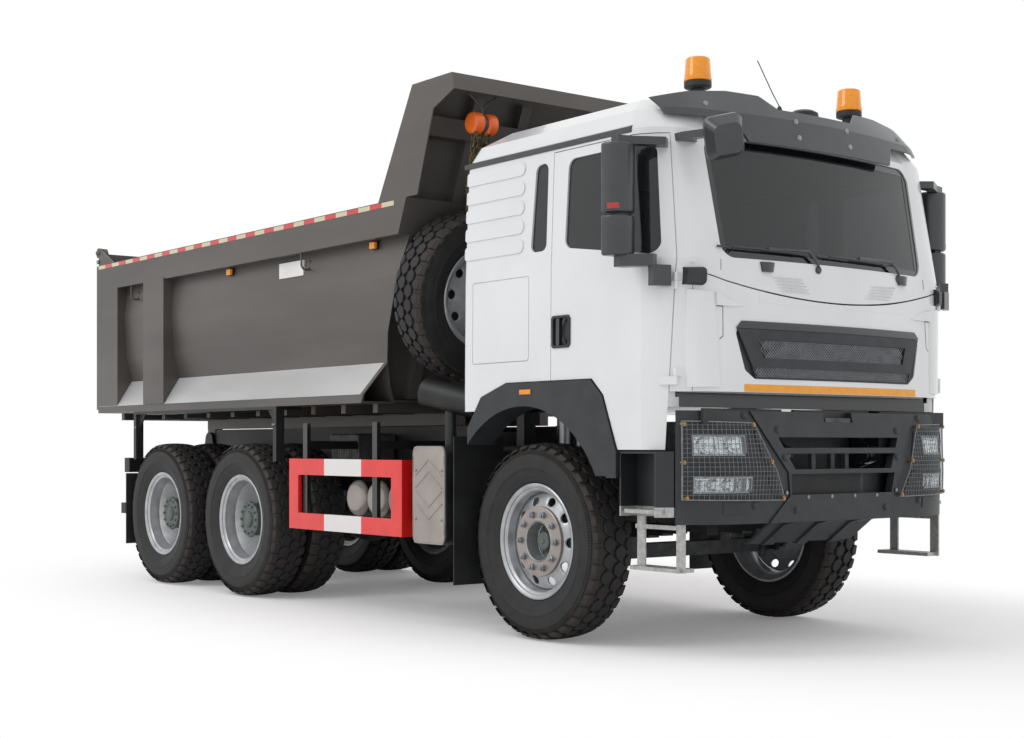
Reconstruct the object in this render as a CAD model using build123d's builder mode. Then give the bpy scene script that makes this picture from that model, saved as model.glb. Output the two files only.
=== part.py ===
"""A six-wheel-drive-line (6x4) tipper truck: ladder frame, tilting cab, tipping bed and front hoist."""

import math
import os

from build123d import *

os.makedirs("parts", exist_ok=True)

# The ground is z = 0, forward is -Y and the truck's left is +X.
# Every place along the truck is given by its distance behind the front axle.

# Overall layout
front_axle_y = -2370.0
wheelbase = 3600.0
bogie_spacing = 1400.0
half_width = 1250.0
joint_gap = 6.0  # between pieces that move past each other
seam = 5.0  # between panels that meet
flap_seam = 9.0  # above the front flap, whose upper edge rises as it swings

# Wheels
tyre_radius = 600.0
tyre_width = 315.0
tread_width = 250.0
rim_radius = 352.0
rim_width = 244.0
front_track_half = 1015.0
rear_outer_x = 1098.0
dual_gap = 35.0
dual_spacing = tyre_width + dual_gap
hub_radius = 118.0
stub_radius = 40.0
spindle_radius = 60.0
hand_hole_ring = 250.0
hand_hole_radius = 28.0
hand_hole_count = 10

# Ladder frame and the frame that carries the bed
frame_half = 430.0
rail_top = 1120.0
rail_height = 300.0
rail_flange = 80.0
rail_plate = 10.0
frame_front = -1200.0
frame_rear = 5850.0
subframe_height = 205.0
subframe_front = 1420.0

# Steering
kingpin_x = 850.0
kingpin_radius = 25.0
running_clearance = 0.05

# Tipping bed
bed_rear = 6290.0
bed_top = 2835.0
bed_floor = 1500.0
bed_plate = 8.0
top_rail_height = 235.0
top_rail_depth = 120.0
sill_bottom = rail_top + subframe_height + joint_gap
headboard_foot = 1740.0  # front face of the headboard at headboard_foot_z
headboard_foot_z = 1600.0
headboard_lean = 0.41  # forward travel for each unit of rise
headboard_setback = 100.0  # the wall lies this far behind the beam's face
canopy_top = 3568.0
canopy_front = 712.0
canopy_rear = 1162.0
canopy_lip = 108.0

# Tipping hinge, tailgate hinge, hoist
tip_hinge = 5650.0
tip_hinge_z = 1232.0
tip_pin_radius = 35.0
gate_hinge = 6302.0
gate_hinge_z = 2952.0
gate_pin_radius = 18.0
hoist_foot = 1040.0
hoist_foot_z = 1010.0
hoist_head = 1040.0
hoist_head_z = 2600.0
hoist_radii = [85.0, 70.0, 56.0, 43.0]
hoist_tube_length = 1400.0
hoist_pin_radius = 25.0

# Cab
cab_wall = 50.0
cab_skin_rear = 619.0
cab_floor = 1450.0
cab_floor_bottom = 1395.0
gutter_z = 2945.0
door_bottom = 1159.0
door_top = 2905.0
door_rear = -278.0
door_depth = 58.0
panel_bottom = 1478.0
flap_top = 2095.0
flap_half = 1060.0
cab_hinge = -1290.0
cab_hinge_z = 1130.0
cab_pin_radius = 25.0
cab_lug_x = 380.0
rib_front = -6.0
rib_rear = 597.0
rib_bottom = 2328.0
rib_top = 2914.0
rib_count = 5
rib_pitch = (rib_top - rib_bottom) / rib_count
rib_space = 34.0
rib_proud = 8.0
locker_front = -67.0
locker_rear = 502.0
locker_bottom = 1688.0
locker_top = 2199.0
locker_side = 1240.0  # the cab's half width at the locker's top edge
seam_depth = 8.0
handle_front = -446.0
handle_rear = -302.0
handle_bottom = 1762.0
handle_top = 1932.0
handle_recess = 24.0

# Spare wheel
spare_x = -700.0
spare_y = 1190.0
spare_z = 2205.0
spare_lean = 10.0


def aft(distance):
    """The y of a place this far behind the front axle."""
    return front_axle_y + distance


def headboard_y(z):
    """The front face of the headboard's beams at height z."""
    return aft(headboard_foot - headboard_lean * (z - headboard_foot_z))


def write(part, name):
    part.part.label = name
    export_step(part.part, f"parts/{name}.step")


# ---------------------------------------------------------------- ladder frame

rail_bottom = rail_top - rail_height
subframe_top = rail_top + subframe_height

with BuildPart() as chassis_frame:
    for side in (-1, 1):
        with BuildSketch(Plane.XZ.offset(-aft(frame_rear))):
            with BuildLine():
                Polyline(
                    (side * frame_half, rail_bottom),
                    (side * (frame_half - rail_flange), rail_bottom),
                    (side * (frame_half - rail_flange), rail_bottom + rail_plate),
                    (side * (frame_half - rail_plate), rail_bottom + rail_plate),
                    (side * (frame_half - rail_plate), rail_top - rail_plate),
                    (side * (frame_half - rail_flange), rail_top - rail_plate),
                    (side * (frame_half - rail_flange), rail_top),
                    (side * frame_half, rail_top),
                    close=True,
                )
            make_face()
        extrude(amount=frame_rear - frame_front)
    # cross members: place, bottom, height, length along the truck
    cross_members = [
        (frame_front + 60, 880, 190, 120),
        (700, 860, 120, 80),
        (hoist_foot - 150, 860, 200, 60),
        (hoist_foot + 170, 860, 200, 60),
        (2300, 860, 200, 80),
        (wheelbase + bogie_spacing / 2, 850, 240, 160),
        (frame_rear - 60, 850, 240, 120),
    ]
    for place, bottom, height, length in cross_members:
        with Locations((0, aft(place), bottom + height / 2)):
            Box(2 * (frame_half - rail_plate), length, height)
    # frame that carries the bed, with its own cross members
    subframe_rear = tip_hinge - 100
    subframe_length = subframe_rear - subframe_front
    with Locations((0, aft(subframe_front + subframe_length / 2), rail_top + subframe_height / 2)):
        for side in (-1, 1):
            with Locations((side * (frame_half - rail_flange / 2), 0, 0)):
                Box(rail_flange, subframe_length, subframe_height)
        with GridLocations(1, subframe_length / 4, 1, 4):
            Box(2 * frame_half - rail_flange, 70, 120)
    # ears and shaft of the tipping hinge
    for side in (-1, 1):
        with BuildSketch(Plane.YZ.offset(side * (frame_half + 12.5) - 12.5)):
            with BuildLine():
                Polyline(
                    (aft(tip_hinge) - 180, rail_bottom + 60),
                    (aft(tip_hinge) + 180, rail_bottom + 60),
                    (aft(tip_hinge) + 70, tip_hinge_z),
                    (aft(tip_hinge) - 70, tip_hinge_z),
                    close=True,
                )
            make_face()
            with Locations((aft(tip_hinge), tip_hinge_z)):
                Circle(70)
        extrude(amount=25)
    with Locations((0, aft(tip_hinge), tip_hinge_z)):
        Cylinder(tip_pin_radius, 2 * frame_half + 50, rotation=(0, 90, 0))
    # ears and pins of the cab's hinge, a pair on each rail
    for side in (-1, 1):
        for inner in (side * cab_lug_x - 60, side * cab_lug_x + 40):
            with BuildSketch(Plane.YZ.offset(inner)):
                with BuildLine():
                    Polyline(
                        (aft(frame_front) + 120, rail_top - 70),
                        (aft(frame_front) + 120, rail_top - 10),
                        (aft(cab_hinge), cab_hinge_z + 48),
                        (aft(cab_hinge) - 20, cab_hinge_z - 45),
                        (aft(frame_front), rail_top - 70),
                        close=True,
                    )
                make_face()
                with Locations((aft(cab_hinge), cab_hinge_z)):
                    Circle(50)
            extrude(amount=20)
        with Locations((side * cab_lug_x, aft(cab_hinge), cab_hinge_z)):
            Cylinder(cab_pin_radius, 120, rotation=(0, 90, 0))
    # pin of the hoist's foot, between two cross members
    with Locations((0, aft(hoist_foot), hoist_foot_z)):
        Cylinder(hoist_pin_radius, 2 * (frame_half - rail_plate), rotation=(0, 90, 0))
write(chassis_frame, "chassis_frame")

# ---------------------------------------------------------------- axles and springs

axle_places = [0.0, wheelbase, wheelbase + bogie_spacing]
spring_x = 415.0
spring_width = 90.0

with BuildPart() as axles:
    # front beam with eyes for the king pins
    with Locations((0, aft(0), tyre_radius - 90)):
        Box(2 * (kingpin_x - 90), 110, 90)
    for side in (-1, 1):
        with Locations((side * (kingpin_x - 85), aft(0), tyre_radius - 45)):
            Box(70, 110, 100)
        with Locations((side * spring_x, aft(0), 582)):
            Box(spring_width, 160, 54)
        with Locations((side * kingpin_x, aft(0), tyre_radius - 45)):
            Cylinder(55, 100)
        with Locations((side * kingpin_x, aft(0), tyre_radius - 45)):
            Cylinder(kingpin_radius, 260)
    # drive axles: tube, differential bowl, spindle ends and spring seats
    for place in axle_places[1:]:
        for side in (-1, 1):
            with Locations((side * 500, aft(place), 690)):
                Box(100, 90, 40)
        with Locations((0, aft(place), tyre_radius)):
            Cylinder(75, 2 * (rear_outer_x - dual_spacing - 140), rotation=(0, 90, 0))
            Cylinder(spindle_radius, 2 * (rear_outer_x + 30), rotation=(0, 90, 0))
            Sphere(215)
    # shaft from the gearbox to the first drive axle and between the two
    with Locations((0, aft((1500 + wheelbase) / 2), tyre_radius + 90)):
        Cylinder(55, wheelbase - 1500 - 200, rotation=(90, 0, 0))
    with Locations((0, aft(wheelbase + bogie_spacing / 2), tyre_radius + 40)):
        Cylinder(50, bogie_spacing, rotation=(90, 0, 0))
write(axles, "axles")

with BuildPart() as leaf_springs:
    for side in (-1, 1):
        # front pack: length and height of each leaf
        for leaf, length in enumerate([1500, 1300, 1050, 800, 550]):
            with Locations((side * spring_x, aft(0), 660 - 18 * leaf + 30)):
                Box(spring_width, length, 18)
        for end in (-1, 1):
            with Locations((side * spring_x, aft(end * 740), rail_bottom - 85)):
                Box(spring_width, 90, 170)
        # bogie pack, on its trunnion between the two axles
        for leaf, length in enumerate([1500, 1500, 1250, 1000, 750, 500]):
            with Locations((side * 500, aft(wheelbase + bogie_spacing / 2), 720 + 20 * leaf)):
                Box(100, length, 20)
        with Locations((side * 470, aft(wheelbase + bogie_spacing / 2), 760)):
            Box(80, 240, 300)
write(leaf_springs, "leaf_springs")

with BuildPart() as engine:
    with Locations((0, aft(-150), 1050)):
        Box(2 * frame_half - 2 * rail_flange - 20, 1350, 560)
    # feet on the rails' webs
    for place in (-600, 300):
        with Locations((0, aft(place), 940)):
            Box(2 * (frame_half - rail_plate), 120, 60)
write(engine, "engine")

# ---------------------------------------------------------------- wheels


def tyre_section(centre_x):
    """Half section of one tyre, to be turned about the wheel's axis."""
    half = tyre_width / 2
    tread = tread_width / 2
    bead = rim_width / 2
    with BuildSketch() as section:
        with BuildLine():
            Polyline(
                (centre_x - tread, tyre_radius - 6),
                (centre_x - tread + 12, tyre_radius),
                (centre_x + tread - 12, tyre_radius),
                (centre_x + tread, tyre_radius - 6),
            )
            ThreePointArc(
                (centre_x + tread, tyre_radius - 6),
                (centre_x + half, (tyre_radius + rim_radius) / 2 - 10),
                (centre_x + bead - 14, rim_radius + 2),
            )
            Polyline(
                (centre_x + bead - 14, rim_radius + 2),
                (centre_x + bead - 34, rim_radius - 38),
                (centre_x - bead + 34, rim_radius - 38),
                (centre_x - bead + 14, rim_radius + 2),
            )
            ThreePointArc(
                (centre_x - bead + 14, rim_radius + 2),
                (centre_x - half, (tyre_radius + rim_radius) / 2 - 10),
                (centre_x - tread, tyre_radius - 6),
            )
        make_face()
    return section.sketch


def hub_section(inner_x, outer_x, bore, radius):
    """Half section of a hub that runs on a spindle and is closed at its outer end."""
    cap = 12 if outer_x > 0 else -12
    with BuildSketch() as section:
        with BuildLine():
            Polyline(
                (inner_x, bore),
                (inner_x, radius),
                (outer_x, radius),
                (outer_x, 0),
                (outer_x - cap, 0),
                (outer_x - cap, bore),
                close=True,
            )
        make_face()
    return section.sketch


def rim_section(centre_x, disc_x, side):
    """Half section of one rim and its disc; the disc's face is at disc_x and looks towards side."""
    bead = rim_width / 2
    with BuildSketch() as section:
        with BuildLine():
            Polyline(
                (centre_x - bead, rim_radius),
                (centre_x - bead + 12, rim_radius),
                (centre_x - bead + 33, rim_radius - 39),
                (centre_x + bead - 33, rim_radius - 39),
                (centre_x + bead - 12, rim_radius),
                (centre_x + bead, rim_radius),
                (centre_x + bead - 18, rim_radius - 60),
                (centre_x - bead + 18, rim_radius - 60),
                close=True,
            )
        make_face()
        with BuildLine():
            Polyline(
                (disc_x, 100),
                (disc_x, 205),
                (disc_x - side * 60, rim_radius - 50),
                (disc_x - side * 78, rim_radius - 50),
                (disc_x - side * 18, 200),
                (disc_x - side * 18, 100),
                close=True,
            )
        make_face()
    return section.sketch


# name, side, place behind the front axle
wheel_sets = [
    ("front_right", -1, axle_places[0]),
    ("front_left", 1, axle_places[0]),
    ("mid_right", -1, axle_places[1]),
    ("mid_left", 1, axle_places[1]),
    ("rear_right", -1, axle_places[2]),
    ("rear_left", 1, axle_places[2]),
]
for name, side, place in wheel_sets:
    steered = place == 0
    spin = Axis((0, aft(place), tyre_radius), (1, 0, 0))
    centre = Plane((0, aft(place), tyre_radius))
    centres = [front_track_half] if steered else [rear_outer_x, rear_outer_x - dual_spacing]
    with BuildPart() as tyre:
        with BuildSketch(centre):
            for x in centres:
                add(tyre_section(side * x))
        revolve(axis=spin)
    write(tyre, f"tyre_{name}" if steered else f"tyres_{name}")
    with BuildPart() as rim:
        with BuildSketch(centre):
            if steered:
                add(rim_section(side * front_track_half, side * (front_track_half + 60), side))
                add(hub_section(side * (kingpin_x + 98), side * (front_track_half + 110), stub_radius
                                + running_clearance, 105))
            else:
                middle = rear_outer_x - dual_spacing / 2
                add(rim_section(side * rear_outer_x, side * (middle + 20), -side))
                add(rim_section(side * (rear_outer_x - dual_spacing), side * (middle - 20), side))
                add(hub_section(side * (middle - 220), side * (rear_outer_x + 60), spindle_radius
                                + running_clearance, hub_radius))
        revolve(axis=spin)
        if steered:
            with Locations(Location((side * (front_track_half + 30), aft(place), tyre_radius), (0, 90, 0))):
                with PolarLocations(hand_hole_ring, hand_hole_count):
                    Cylinder(hand_hole_radius, 120, mode=Mode.SUBTRACT)
    write(rim, f"rim_{name}" if steered else f"rims_{name}")

# knuckle and stub axle that turn with the steering; the wheel runs on the stub
for name, side in [("right", -1), ("left", 1)]:
    with BuildPart() as knuckle:
        # arms above and below the eye of the axle beam
        for arm in (tyre_radius - 118, tyre_radius + 28):
            with Locations((side * kingpin_x, aft(0), arm)):
                Cylinder(52, 25)
            with Locations((side * (kingpin_x + 35), aft(0), arm)):
                Box(70, 90, 25)
        with Locations((side * (kingpin_x + 75), aft(0), tyre_radius - 45)):
            Box(30, 150, 171)
        with Locations((side * kingpin_x, aft(0), tyre_radius - 45)):
            Cylinder(kingpin_radius + running_clearance, 400, mode=Mode.SUBTRACT)
        with Locations((side * (kingpin_x + 150), aft(0), tyre_radius)):
            Cylinder(stub_radius, 150, rotation=(0, 90, 0))
    write(knuckle, f"knuckle_{name}")

# ---------------------------------------------------------------- tanks, guards and boxes on the frame

guard_front = 1285.0
guard_rear = wheelbase - 817.0
guard_bottom = 570.0
guard_top = 1085.0
guard_band = 118.0
guard_depth = 160.0

with BuildPart() as side_guards:
    for side in (-1, 1):
        middle = aft((guard_front + guard_rear) / 2)
        length = guard_rear - guard_front
        outer = side * half_width
        # outer frame with its window, a shallow channel
        with Locations((outer - side * 15, middle, (guard_bottom + guard_top) / 2)):
            Box(30, length, guard_top - guard_bottom)
            Box(80, length - 260, guard_top - guard_bottom - 2 * guard_band, mode=Mode.SUBTRACT)
        with Locations((outer - side * guard_depth / 2, aft(guard_front + 4),
                        (guard_bottom + guard_top) / 2)):
            Box(guard_depth, 8, guard_top - guard_bottom)
        # posts and arms back to the frame
        for place in (guard_front + 380, guard_rear - 180):
            with Locations((outer - side * 45, aft(place), (guard_bottom + guard_top) / 2 + 130)):
                Box(30, 60, guard_top - guard_bottom + 260)
            reach = half_width - 60 - frame_half
            with Locations((side * (frame_half + reach / 2), aft(place), guard_top + 100)):
                Box(reach, 60, 60)
write(side_guards, "side_guards")

tank_radius = 128.0
tank_places = [1560.0, 1830.0, 2100.0]
with BuildPart() as air_tanks:
    for place in tank_places:
        with Locations((-(frame_half + 40 + 320), aft(place), 806)):
            Cylinder(tank_radius, 640, rotation=(0, 90, 0))
        fillet(air_tanks.edges().filter_by(GeomType.CIRCLE).filter_by_position(
            Axis.Y, aft(place) - 1, aft(place) + 1), 40)
        with Locations((-(frame_half + 25), aft(place), 900)):
            Box(50, 60, 120)
write(air_tanks, "air_tanks")

with BuildPart() as silencer_box:
    with Locations((-(half_width - 330), aft(962), 860)):
        Box(660, 380, 640)
    fillet(silencer_box.edges().filter_by(Axis.X), 60)
    with Locations((-(frame_half + 80), aft(962), 980)):
        Box(160, 300, 160)
write(silencer_box, "silencer_box")

with BuildPart() as fuel_tank:
    with Locations((half_width - 330, aft(1000), 860)):
        Box(640, 420, 600)
    fillet(fuel_tank.edges().filter_by(Axis.Y), 90)
    with Locations((half_width - 330 + 150, aft(1000), 1175)):
        Cylinder(55, 40)
    with Locations((frame_half + 90, aft(1000), 960)):
        Box(180, 300, 160)
write(fuel_tank, "fuel_tank")

flap_plate = 10.0
# flaps behind the wheels: where their arm starts, its height, inner x, outer x, place, bottom, top
mud_flap_table = [
    (frame_half, 1060, 850, 1245, 700, 290, 1240),
    (frame_half + 25, 895, 600, 1245, 5690, 310, 935),
]
with BuildPart() as mud_flaps:
    for side in (-1, 1):
        for arm, arm_z, inner, outer, place, bottom, top in mud_flap_table:
            with Locations((side * (inner + outer) / 2, aft(place), (bottom + top) / 2)):
                Box(outer - inner, flap_plate, top - bottom)
            with Locations((side * (arm + inner + 20) / 2, aft(place), arm_z)):
                Box(inner - arm + 20, 40, 60)
write(mud_flaps, "mud_flaps")

with BuildPart() as rear_bar:
    with Locations((0, aft(5850), 620)):
        Box(2400, 90, 95)
    for side in (-1, 1):
        with Locations((side * 390, aft(frame_rear + 20), 840)):
            Box(80, 40, 370)
        # lamp box on its arm
        with Locations((side * 1080, aft(5840), 1006)):
            Box(180, 100, 130)
        with Locations((side * (frame_half + 290), aft(5820), 1006)):
            Box(580, 40, 50)
write(rear_bar, "rear_bar")

# spare wheel, leaning forward behind the cab, on a carrier that stands on the frame
spare_plane = Plane(
    origin=(spare_x, aft(spare_y), spare_z),
    x_dir=(0, math.cos(math.radians(spare_lean)), math.sin(math.radians(spare_lean))),
    z_dir=(1, 0, 0),
)
spare_axis = Axis((spare_x, aft(spare_y), spare_z), spare_plane.x_dir)
with BuildPart() as spare_tyre:
    with BuildSketch(spare_plane):
        add(tyre_section(0))
    revolve(axis=spare_axis)
write(spare_tyre, "spare_tyre")
with BuildPart() as spare_rim:
    with BuildSketch(spare_plane):
        add(rim_section(0, -60, -1))
    revolve(axis=spare_axis)
write(spare_rim, "spare_rim")
with BuildPart() as spare_carrier:
    with Locations((-(frame_half + 50), aft(920), (rail_top + 2300) / 2)):
        Box(100, 80, 2300 - rail_top)
    with Locations((-(frame_half - 5), aft(920), rail_top + 15)):
        Box(110, 200, 30)
    with Locations(((spare_x - frame_half) / 2 - 25, aft(920), spare_z + 40)):
        Box(-spare_x - frame_half + 50, 60, 90)
    # stud plate against the rim's disc
    with BuildSketch(Plane(origin=spare_plane.origin - spare_plane.x_dir * 60.3, z_dir=-spare_plane.x_dir)):
        Circle(140)
    extrude(amount=20)
    with BuildSketch(Plane(origin=spare_plane.origin - spare_plane.x_dir * 70, z_dir=-spare_plane.x_dir)):
        Circle(45)
    extrude(amount=180)
write(spare_carrier, "spare_carrier")

with BuildPart() as air_intake:
    with BuildSketch(Plane(origin=(-1130, aft(1180), 1540), z_dir=(0.35, -0.8, -0.2))):
        Circle(95)
        Circle(88, mode=Mode.SUBTRACT)
    extrude(amount=420)
    with Locations((-1050, aft(1000), 1315)):
        Cylinder(40, 270)
write(air_intake, "air_intake")

# ---------------------------------------------------------------- bumper, lamps and steps

bumper_bottom = 750.0
bumper_top = 1374.0
bumper_plate = 40.0
bumper_end_x = 1155.0
bumper_end_y = -1236.0
bumper_middle_proud = 10.0
# sections of the bumper: height, how far its front stands back
bumper_rows = [(bumper_bottom, 26.0), (1040.0, 0.0), (bumper_top, 62.0)]
# front view of the middle section between the lamp housings: half width, height
middle_edge = [(720, bumper_top), (474, 1028), (449, 899), (599, bumper_bottom)]
# openings in the middle section, as half widths and heights at the top and at the bottom
air_openings = [
    [(524, 1229), (489, 1169)],
    [(471, 1137), (420, 1048)],
    [(452, 1022), (438, 905)],
]
# lamp openings: bottom, top, inner x, outer x
lamp_table = [
    (1124, 1242, 770, 1085),
    (919, 1013, 745, 1083),
]
# side view of the plate under the bumper
skid_profile = [
    (-1340, 752),
    (-1270, 736),
    (-1105, 612),
    (-1070, 612),
    (-1070, 624),
    (-1100, 624),
    (-1264, 748),
    (-1340, 764),
]


def bumper_outline(height, back, wall):
    """Plan of the bumper at one height, its front set back, drawn inward by the wall."""
    front_x = 740 - 0.3 * wall
    front_y = aft(-1427) + back + wall
    bend_x = 1034 - 0.6 * wall
    bend_y = aft(-1330) + 0.4 * back + 0.8 * wall
    end_x = bumper_end_x - 0.7 * wall
    end_y = aft(bumper_end_y) + 0.7 * wall
    with BuildSketch(Plane.XY.offset(height)) as outline:
        with BuildLine():
            ThreePointArc((-front_x, front_y), (0, front_y - 9), (front_x, front_y))
            ThreePointArc((front_x, front_y), (bend_x, bend_y), (end_x, end_y))
            Line((end_x, end_y), (-end_x, end_y))
            ThreePointArc((-end_x, end_y), (-bend_x, bend_y), (-front_x, front_y))
        make_face()
    return outline.sketch


def bumper_form(wall, trim):
    """The solid between the bumper's sections, drawn inward by the wall, its ends drawn in by the trim."""
    with BuildPart() as form:
        for height, back in bumper_rows:
            level = min(max(height, bumper_bottom + trim), bumper_top - trim)
            add(bumper_outline(level, back, wall))
        loft(ruled=True)
    return form.part


def front_block(rows):
    """What lies behind a symmetrical outline in front view, given as half widths and heights."""
    with BuildPart() as block:
        with BuildSketch(Plane.XZ.offset(-aft(-1150))):
            with BuildLine():
                Polyline(*rows, *[(-x, z) for x, z in reversed(rows)], close=True)
            make_face()
        extrude(amount=400)
    return block.part


def lamp_windows(grow):
    """Front view of the lamp openings on both sides."""
    with BuildSketch() as windows:
        for side in (-1, 1):
            for bottom, top, inner, outer in lamp_table:
                with Locations((side * (inner + outer) / 2, (bottom + top) / 2)):
                    RectangleRounded(outer - inner + 2 * grow, top - bottom + 2 * grow, 25)
    return windows.sketch


with BuildPart() as bumper_middle:
    add(bumper_form(-bumper_middle_proud, 0))
    add(front_block(middle_edge), mode=Mode.INTERSECT)

with BuildPart() as front_bumper:
    add(bumper_form(0, 0))
    add(bumper_middle.part)
    # hollow behind; the top is open between the lamp housings, where the cab's lugs swing
    add(bumper_form(bumper_plate, 20), mode=Mode.SUBTRACT)
    with Locations((0, aft(-1265), bumper_top - 10)):
        Box(2 * 720, 150, 60, mode=Mode.SUBTRACT)
    with Locations((0, aft(-1400), bumper_top)):
        Box(250, 160, 116, mode=Mode.SUBTRACT)
    for opening in air_openings:
        add(front_block(opening), mode=Mode.SUBTRACT)
    with BuildSketch(Plane.XZ.offset(-aft(-1200))):
        add(lamp_windows(0))
    extrude(amount=400, mode=Mode.SUBTRACT)
    # beam on the rails' ends, and brackets down to the lower part of the moulding
    with Locations((0, aft(-1300), 950)):
        Box(2 * frame_half, 80, 180)
    for side in (-1, 1):
        with Locations((side * 390, aft((frame_front - 1260) / 2), 950)):
            Box(80, frame_front + 1260, 180)
        with Locations((side * 300, aft(-1365), 878)):
            Box(100, 76, 36)
    # plate under the bumper, with its pressed ribs
    for place, wide, deep in [(0, 900, 0), (-290, 90, 12), (0, 90, 12), (290, 90, 12)]:
        with BuildSketch(Plane.YZ.offset(place - wide / 2)):
            with BuildLine():
                Polyline(*[(aft(y - deep * 0.6), z - deep * 0.8) for y, z in skid_profile], close=True)
            make_face()
        extrude(amount=wide)
write(front_bumper, "front_bumper")

with BuildPart() as headlamps:
    add(bumper_form(4, 0))
    add(bumper_form(bumper_plate, 0), mode=Mode.SUBTRACT)
    with BuildSketch(Plane.XZ.offset(-aft(-1200))):
        add(lamp_windows(-0.3))
    extrude(amount=400, mode=Mode.INTERSECT)
write(headlamps, "headlamps")

well_rear = -873.0
well_front = -1226.0
well_x = 1110.0
well_bottom = 790.0
well_top = door_bottom - 9
upper_tread = 830.0
lower_tread = 508.0
tread_plate = 22.0
step_wide = 118.0
with BuildPart() as cab_steps:
    for side in (-1, 1):
        middle = aft((well_rear + well_front) / 2)
        length = well_rear - well_front
        outer = half_width - 14
        # footwell: back wall, roof, rear end, and a front end that follows the cab's corner
        with Locations((side * well_x, middle, (well_bottom + well_top) / 2)):
            Box(12, length, well_top - well_bottom)
        with Locations((side * (well_x + outer) / 2, aft((well_rear + well_front + 44) / 2), well_top - 6)):
            Box(outer - well_x, well_rear - well_front - 68, 12)
        with Locations((side * (well_x + outer) / 2, aft(well_rear - 6), (well_bottom + well_top) / 2)):
            Box(outer - well_x, 12, well_top - well_bottom)
        with BuildSketch(Plane.XY.offset(well_bottom)):
            with BuildLine():
                Polyline(
                    (side * well_x, aft(well_front)),
                    (side * (well_x + 46), aft(well_front)),
                    (side * outer, aft(well_front + 56)),
                    (side * outer, aft(well_front + 70)),
                    (side * (outer - 12), aft(well_front + 70)),
                    (side * (well_x + 42), aft(well_front + 12)),
                    (side * well_x, aft(well_front + 12)),
                    close=True,
                )
            make_face()
        extrude(amount=well_top - well_bottom)
        # treads: the upper one in the footwell, the lower one hung on two arms
        for x, y, top, long in [
            (well_x + step_wide / 2, middle, upper_tread, length - 60),
            (well_x - step_wide / 2 + 30, middle, lower_tread, length + 40),
        ]:
            with Locations((side * x, y, top - tread_plate / 2)):
                Box(step_wide, long, tread_plate)
                with GridLocations(40, 52, 2, 6):
                    Box(26, 34, 2 * tread_plate, mode=Mode.SUBTRACT)
        for place, top in ((well_rear - 46, well_bottom + 40), (well_front - 8, bumper_bottom - 0.3)):
            with Locations((side * well_x, aft(place), (top + lower_tread - tread_plate) / 2)):
                Box(12, 62, top - lower_tread + tread_plate)
        with Locations((side * well_x, middle, 730)):
            Box(12, length, 24)
        # arm to the frame
        with Locations((side * (frame_half + well_x) / 2, aft(-1080), 850)):
            Box(well_x - frame_half, 80, 60)
write(cab_steps, "cab_steps")

# ---------------------------------------------------------------- cab

# sections of the cab's outside:
# height, half width, start of the corner on the side, corner x, corner y, brow x, brow y, nose y, rear y
cab_sections = [
    (1140, 1240, -1060, 1100, -1240, 804, -1345, -1385, 619),
    (1478, 1245, -1060, 1100, -1246, 804, -1358, -1398, 619),
    (2209, 1240, -1055, 1120, -1240, 871, -1313, -1385, 619),
    (2945, 1213, -955, 1085, -1120, 880, -1166, -1250, 612),
]
# the roof above the gutter
roof_sections = [
    (2945, 1213, -955, 1085, -1120, 880, -1166, -1250, 612),
    (3060, 1160, -900, 1010, -1060, 820, -1100, -1180, 560),
    (3150, 1020, -830, 880, -960, 700, -1000, -1060, 430),
    (3200, 760, -700, 640, -800, 500, -830, -870, 250),
]


def cab_outline(row, wall):
    """Plan of the cab at one height, drawn inward by the wall."""
    height, half, side_y, corner_x, corner_y, brow_x, brow_y, nose_y, rear_y = row
    bend = wall * 0.7
    half -= wall
    corner_x -= bend
    corner_y = aft(corner_y) + bend
    brow_x -= wall * 0.3
    brow_y = aft(brow_y) + wall
    nose_y = aft(nose_y) + wall
    side_y = aft(side_y)
    rear_y = aft(rear_y) - wall
    rear_corner = 60.0
    middle = rear_corner * (1 - math.sqrt(0.5))
    with BuildSketch(Plane.XY.offset(height)) as outline:
        with BuildLine():
            ThreePointArc((-brow_x, brow_y), (0, nose_y), (brow_x, brow_y))
            ThreePointArc((brow_x, brow_y), (corner_x, corner_y), (half, side_y))
            Line((half, side_y), (half, rear_y - rear_corner))
            ThreePointArc(
                (half, rear_y - rear_corner), (half - middle, rear_y - middle), (half - rear_corner, rear_y)
            )
            Line((half - rear_corner, rear_y), (rear_corner - half, rear_y))
            ThreePointArc(
                (rear_corner - half, rear_y), (middle - half, rear_y - middle), (-half, rear_y - rear_corner)
            )
            Line((-half, rear_y - rear_corner), (-half, side_y))
            ThreePointArc((-half, side_y), (-corner_x, corner_y), (-brow_x, brow_y))
        make_face()
    return outline.sketch


def cab_form(rows, wall):
    """The solid between the cab's sections, drawn inward by the wall."""
    with BuildPart() as form:
        for row in rows:
            add(cab_outline(row, wall))
        loft(ruled=True)
    return form.part


cab_outside = cab_form(cab_sections, 0)
cab_inside = cab_form(cab_sections, cab_wall)
door_inside = cab_form(cab_sections, door_depth)

flap_thickness = 35.0
flap_side_top = 2137.0
flap_middle_top = 2000.0
glass_inset = 12.0
glass_thickness = 6.0
glass_gap = 0.3
mirror_x = 1372.0
mirror_y = -1037.0
mirror_wide = 194.0
mirror_deep = 126.0
mirror_low = 2215.0
mirror_split = 2443.0
mirror_high = 2832.0
mirror_foot_low = 2048.0
mirror_upper_arm = [
    (1330, -1000),
    (1415, -1005),
    (1415, -1065),
    (1335, -1088),
    (1172, -1180),
    (1118, -1140),
    (1090, -1105),
    (1125, -1085),
    (1240, -1078),
]
mirror_lower_arm = [(1340, -1015), (1405, -1015), (1405, -1060), (1290, -1205), (1240, -1180)]
mirror_foot = [(1292, -1168), (1292, -1208), (1195, -1246), (1181, -1214)]
mirror_pad = [(1292, -1168), (1181, -1214), (1160, -1165), (1185, -1130)]
mirror_pad_low = 2086.0
kerb_mirror_x = -985.0
kerb_mirror_y = -1440.0
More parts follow.
